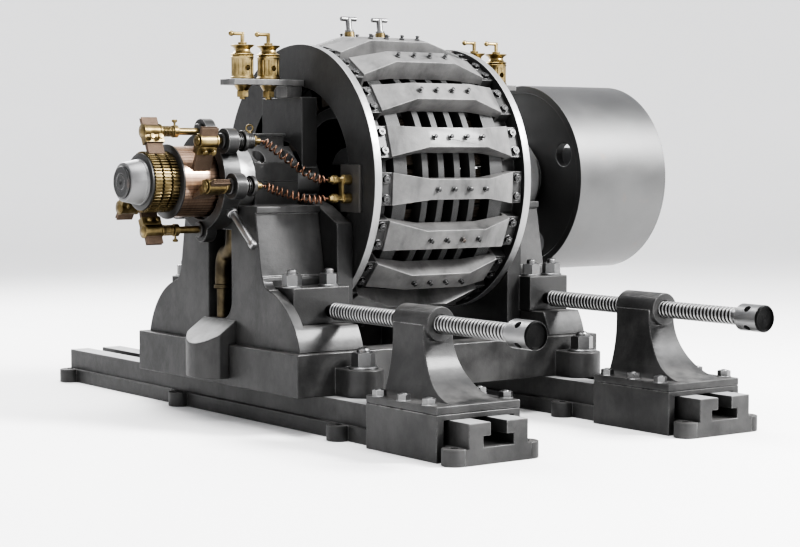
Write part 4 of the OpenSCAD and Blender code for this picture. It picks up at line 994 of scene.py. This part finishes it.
# Faces round the shaft that are the first of every few
def everyFew(sides, few):
    def test(center, normal):
        turn = math.atan2(center.y, center.z - shaftZ) / (fullTurn / sides)
        return abs(normal.x) <= 0.5 and int(math.floor(turn)) % few == 0
    return test


def raiseFaces(piece, test, height):
    chooseFaces(piece, test)
    bpy.ops.mesh.extrude_faces_move(TRANSFORM_OT_shrink_fatten={"value": height})
    return leave()


def collectorRings():
    start, pitch, gap, sides = rings["from"], rings["pitch"], rings["gap"], rings["teeth"] * 2
    made = [rod("core", rings["core"], rings["count"] * pitch, (start, 0, shaftZ), alongX, 72)]
    for k in range(rings["count"]):
        place = (start + k * pitch + gap, 0, shaftZ)
        ring = rod("ring", rings["root"], pitch - 2 * gap, place, alongX, sides)
        made.append(raiseFaces(ring, everyFew(sides, 2), rings["radius"] - rings["root"]))
    whole = join(made, "collectorRings")
    ease(whole, rings["ease"], 1)
    dress(whole, ringBrass, "collector_rings")


collectorRings()

flanges = {
    "front": mm((-705.5, 55), (-705.5, 68.5), (-704.5, 70), (-700, 70), (-699.2, 69), (-699.2, 55)),
    "back": mm((-632.5, 60), (-632.5, 90.5), (-631, 92.5), (-627.5, 92.5), (-626.5, 91.5),
               (-626.5, 60)),
}
collar = mm((-751, 39), (-751, 45.5), (-750, 47.2), (-748.8, 48.2), (-714, 55.3), (-713.5, 54.2),
            (-710.5, 54.8), (-710, 56.1), (-701, 58), (-701, 39))
shaftLine = mm((-751, 0), (-756.2, 5.5), (-757, 6.8), (-757, 18), (-755.6, 19), (-755.6, 21.5),
               (-757, 22.5), (-757, 37.2), (-754.5, 40), (817.5, 40), (820, 37.5), (820, 6.8),
               (819.2, 5.5), (814, 0))


def onShaft(name, line, angle=plain):
    return smooth(lathe(name, line, (0, 0, shaftZ), alongX, 96), angle)


for name, line in flanges.items():
    dress(onShaft(name + "Flange", line + line[:1]), ebonite, body="rotor")
# The collar and shaft take darker steels: painted shade on their end faces
dress(onShaft("endCollar", collar + collar[:1]), shadedCollarSteel, "end_collar")
dress(onShaft("mainShaft", shaftLine, crisp), shadedAxleSteel, "shaft")

barrel = {"from": -0.629, "to": -0.519, "radius": 0.088, "facesPerBar": 6, "groove": 0.0005}


def commutatorBarrel():
    few = barrel["facesPerBar"]
    sides = bars["count"] * few
    whole = rod("commutatorBarrel", barrel["radius"], barrel["to"] - barrel["from"],
                (barrel["from"], 0, shaftZ), alongX, sides)
    raiseFaces(whole, everyFew(sides, few), -barrel["groove"])
    smooth(whole, 20)
    dress(whole, barCopper, "commutator")


commutatorBarrel()
print("collector end turned")


# Rings by which the lids of the oil boxes are lifted

lid = {"places": {"front_bearing_cap": -0.39, "rear_bearing_cap": 0.386}, "ring": 0.0085,
       "wire": 0.0021, "rise": 0.0045, "turn": 55,
       "base": mm((-1, 0), (-1, 7.5), (1.5, 7.5), (2.2, 6.8), (2.8, 4.5), (6, 3.4), (7.2, 0))}


def lidRing(node, x):
    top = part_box(node)[1][2]
    base = lathe(node + ".lift", lid["base"], (x, 0, top), alongZ, 24)
    deselect()
    turn = (0, math.radians(90), math.radians(lid["turn"]))
    bpy.ops.mesh.primitive_torus_add(major_segments=32, minor_segments=10, rotation=turn,
                                     major_radius=lid["ring"], minor_radius=lid["wire"],
                                     location=(x, 0, top + lid["rise"] + lid["ring"]))
    whole = join([base, settle(bpy.context.object, "ring")], node + ".lift")
    dress(smooth(whole, 40), gearBrass, body="machine")


for node, x in lid["places"].items():
    lidRing(node, x)
print("lid rings set")


# Oil drain: a bent pipe with a banded coupling and a straight spout

drain = {
    "x": -0.455, "shift": 0.028, "floor": 0.255, "radius": 0.02, "spout": 0.0155, "spoutTop": 0.329,
    "bendZ": (0.479, 0.379, 0.464, 0.364), "bendSteps": 24, "pipeEnd": 0.338,
    "band": mm((327, 0), (327, 20), (329, 23), (332, 23), (332.5, 22), (333.5, 22), (334, 23),
               (337, 23), (339, 20), (339, 0)),
}


def drainPipe():
    x, s, steps = drain["x"], drain["shift"], drain["bendSteps"]
    p = [Vector((x, y, z)) for y, z in zip((-s, -s, s, s), drain["bendZ"])]
    bend = [bezier(p, k / steps) for k in range(steps + 1)] + [Vector((x, s, drain["pipeEnd"]))]
    pipe = tube("bend", bend, drain["radius"], 6)
    band = lathe("band", drain["band"], (x, s, 0), alongZ, 48)
    low = drain["floor"]
    spout = rod("spout", drain["spout"], drain["spoutTop"] - low, (x, s, low), alongZ, 40)
    whole = smooth(join([pipe, band, spout], "drainPipe"), 35)
    dress(whole, drainBronze, "drain_pipe")


drainPipe()
print("drain bent")


# Brush gear on the rocker: studs, spools, clamps, gauze strips and their screws

ringReach = {"from": -0.701, "to": -0.505}
studs = {
    "top": {"at": (0.0, 0.124), **ringReach},
    "low": {"at": (0.0, -0.12), **ringReach},
    "far": {"at": (0.125, -0.066), **ringReach},
    "upper": {"at": (-0.112, 0.1), "from": -0.613, "to": -0.428},
    "side": {"at": (-0.15, -0.01), "from": -0.613, "to": -0.448},
}
gear = {
    "studNose": mm((0, 0), (0, 4.95), (0.8, 7.2), (2.2, 9), (2.5, 12.2), (3.2, 13.4), (6.6, 13.4),
                   (7.3, 12.2), (7.5, 9)),
    "studTail": mm((-4, 9), (-1, 6.48), (0, 4.5), (0, 0)),
    "nut": (0.026, 0.009, 0.0165, 0.002, 0.009, 0.001, 0.002), "nutInset": 0.026,
    "lobeFront": -0.535, "lobeBack": -0.505, "bore": 0.0085, "sleeve": 0.0138,
    "flange": mm((-8, 8.5), (-8, 18), (-6, 20), (-2, 20), (0, 19), (0, 13.8)),
    "rib": mm((0, 15.8), (1.2, 20), (3.6, 20), (4.8, 15.8)), "ribs": 4, "ribPitch": 0.0054,
    "washer": mm((-483, 15.8), (-483, 25), (-481.8, 26), (-474.2, 26), (-473, 25), (-473, 19.5)),
    "turn": mm((0.4, 19.5), (3.8, 19.5), (4.2, 18), (5, 18)), "turnPitch": 0.005,
    "turnRadius": 0.0195, "nutRoom": 0.028, "collarFrom": -0.613, "collarLength": 0.013,
    "collarRadius": 0.0155, "collar": mm((0, 8.5), (0, 14.5), (1, 15.5)),
    "thumb": mm((-2, 0), (-2, 2.6), (5, 2.6), (5.4, 4), (7, 4), (7.4, 6.2), (8, 6.8), (12.8, 6.8),
                (13.6, 6), (14, 3), (14, 0)),
}


def studRod(name, stud):
    y, z = stud["at"]
    line = gear["studNose"] + moved(gear["studTail"], stud["to"] - stud["from"])
    return smooth(lathe(name + "Stud", line, (stud["from"], y, shaftZ + z), alongX, 32))


def backNut(at, x):
    nut = hexNut(*gear["nut"])
    place = Matrix.Translation((x, at[0], shaftZ + at[1]))
    nut.data.transform(place @ Matrix.Rotation(math.radians(90), 4, "Y"))
    return nut


def spool(name, at, end):
    x = gear["lobeBack"]
    line = moved(gear["flange"], gear["lobeFront"]) + [(x, gear["sleeve"])]
    if end > x:
        for k in range(gear["ribs"]):
            line += moved(gear["rib"], x + k * gear["ribPitch"])
        line += gear["washer"]
        x = gear["washer"][-1][0]
        while x < end - gear["nutRoom"]:
            line += moved(gear["turn"], x)
            x += gear["turnPitch"]
        line.append((x, gear["turnRadius"]))
    line.append((x, gear["bore"]))
    place = (0, at[0], shaftZ + at[1])
    return smooth(lathe(name + "Spool", line + line[:1], place, alongX, 48), crisp)


def thumbScrew(base, outward):
    return smooth(lathe("thumbScrew", gear["thumb"], base, outward, 20), 15)


def springCollar(name, at):
    x, length = gear["collarFrom"], gear["collarLength"]
    line = moved(mirrored(gear["collar"], length), x)
    place = Vector((0, at[0], shaftZ + at[1]))
    ring = smooth(lathe(name + "Collar", line + line[:1], place, alongX, 40), crisp)
    outward = Vector((0, *at)).normalized()
    base = place + alongX * (x + length / 2) + outward * gear["collarRadius"]
    return [ring, thumbScrew(base, outward)]


def brushStuds():
    metal, insulation = [], []
    for name, stud in studs.items():
        at, end = stud["at"], stud["to"]
        metal.append(studRod(name, stud))
        insulation.append(spool(name, at, end))
        behind = end > gear["lobeBack"]
        metal.append(backNut(at, end - gear["nutInset"] if behind else gear["lobeBack"]))
        if not behind:
            metal += springCollar(name, at)
    dress(join(metal, "brushStuds"), holderBrass, "brush_studs")
    dress(join(insulation, "studSpools"), ebonite, "stud_bushes")


brushStuds()

onBars = {"x": -0.605, "width": 0.052, "drum": barrel["radius"], "sprung": False}
onRings = {"x": -0.697, "width": 0.05, "drum": rings["radius"], "sprung": True}
brushes = {
    "upper_brush": {"stud": "upper", "screws": -1, **onBars},
    "side_brush": {"stud": "side", "screws": 1, **onBars},
    "top_ring_brush": {"stud": "top", "screws": -1, **onRings},
    "low_ring_brush": {"stud": "low", "screws": 1, **onRings},
    "far_ring_brush": {"stud": "far", "screws": 1, **onRings},
}
holder = {
    "lean": 24, "sleeve": mm((0, 8.5), (0, 17), (0.8, 18), (4.5, 18), (5.2, 16)),
    "boxFrom": 0.012, "boxTo": 0.033, "boxHalf": 0.0108, "boxLip": 0.0008, "boxWall": 0.0035,
    "boxMouth": 0.004, "boxEase": 0.0011, "screwsAt": (0.27, 0.73),
    "spring": 0.0125, "springWire": 0.0013, "springFrom": 0.002, "springLength": 0.03,
    "springTurns": 7, "springSteps": 18,
    "leaves": 4, "leaf": 0.0024, "leafPitch": 0.0028, "inset": 0.003, "tail": 0.036,
    "tailStep": 0.0022, "leafEase": 0.0004, "gap": 0.0006, "overrun": 0.01,
}


def pressSpring(width):
    r, steps = holder["spring"], holder["springSteps"]
    count = holder["springTurns"] * steps
    points = []
    for k in range(count + 1):
        w = fullTurn * k / steps
        x = width + holder["springFrom"] + holder["springLength"] * k / count
        points.append(Vector((x, r * math.cos(w), r * math.sin(w))))
    return tube("spring", points, holder["springWire"], 2)


def brushClamp(facts):
    width, side, half, lip = facts["width"], facts["screws"], holder["boxHalf"], holder["boxLip"]
    low, high = holder["boxFrom"], holder["boxTo"]
    sleeve = smooth(lathe("sleeve", mirrored(holder["sleeve"], width), origin, alongX, 48), crisp)
    box = block("box", (-lip, low, -half), (width + lip, high, half))
    chooseFaces(box, lambda center, normal: normal.y > 0.5)
    bpy.ops.mesh.inset(thickness=holder["boxWall"])
    sink = {"value": (0, -holder["boxMouth"], 0)}
    bpy.ops.mesh.extrude_region_move(TRANSFORM_OT_translate=sink)
    leave()
    ease(box, holder["boxEase"])
    made = [sleeve, box]
    for k in holder["screwsAt"]:
        made.append(thumbScrew((width * k, (low + high) / 2, side * half), (0, 0, side)))
    if facts["sprung"]:
        made.append(pressSpring(width))
    return made


def brushLeaves(width, reach):
    half, inset = holder["leaf"] / 2, holder["inset"]
    made = []
    for k in range(holder["leaves"]):
        w = (k - (holder["leaves"] - 1) / 2) * holder["leafPitch"]
        back = holder["tail"] - holder["tailStep"] * ((k * 2) % 3)
        made.append(block("leaf", (inset, -back, w - half), (width - inset, reach, w + half)))
    return made


def brushHolder(node, facts):
    at, lean = studs[facts["stud"]]["at"], math.radians(holder["lean"])
    turn = math.atan2(-at[1], -at[0]) - lean
    place = (Matrix.Translation((facts["x"], at[0], shaftZ + at[1]))
             @ Matrix.Rotation(turn, 4, "X"))
    width, over = facts["width"], holder["overrun"]
    clampPiece = join(brushClamp(facts), node + ".clamp")
    clampPiece.data.transform(place)
    strip = join(brushLeaves(width, math.hypot(*at) * math.cos(lean)), node + ".strip")
    strip.data.transform(place)
    start = (facts["x"] - over, 0, shaftZ)
    cut(strip, rod("drum", facts["drum"] + holder["gap"], width + 2 * over, start, alongX, 180))
    ease(strip, holder["leafEase"], 1)
    dress(clampPiece, holderBrass, node)
    dress(strip, brushGauze, node)


for node, facts in brushes.items():
    brushHolder(node, facts)

handle = {
    "x": -0.501, "turn": 128,
    "line": mm((104, 0), (104, 8.5), (118, 8.5), (118, 12.5), (119.5, 14), (129, 14),
               (130.5, 12.5), (131, 8.5), (238.5, 8.5), (239.5, 10), (241, 10.5), (252, 10.5),
               (254.5, 8.5), (255.5, 5), (255.7, 0)),
}


def rockerHandle():
    turn = math.radians(handle["turn"])
    along = Vector((0, -math.sin(turn), math.cos(turn)))
    piece = lathe("rockerHandle", handle["line"], (handle["x"], 0, shaftZ), along, 40)
    smooth(piece, crisp)
    dress(piece, shaftSteel, "rocker_handle")


rockerHandle()
print("brush gear fitted")
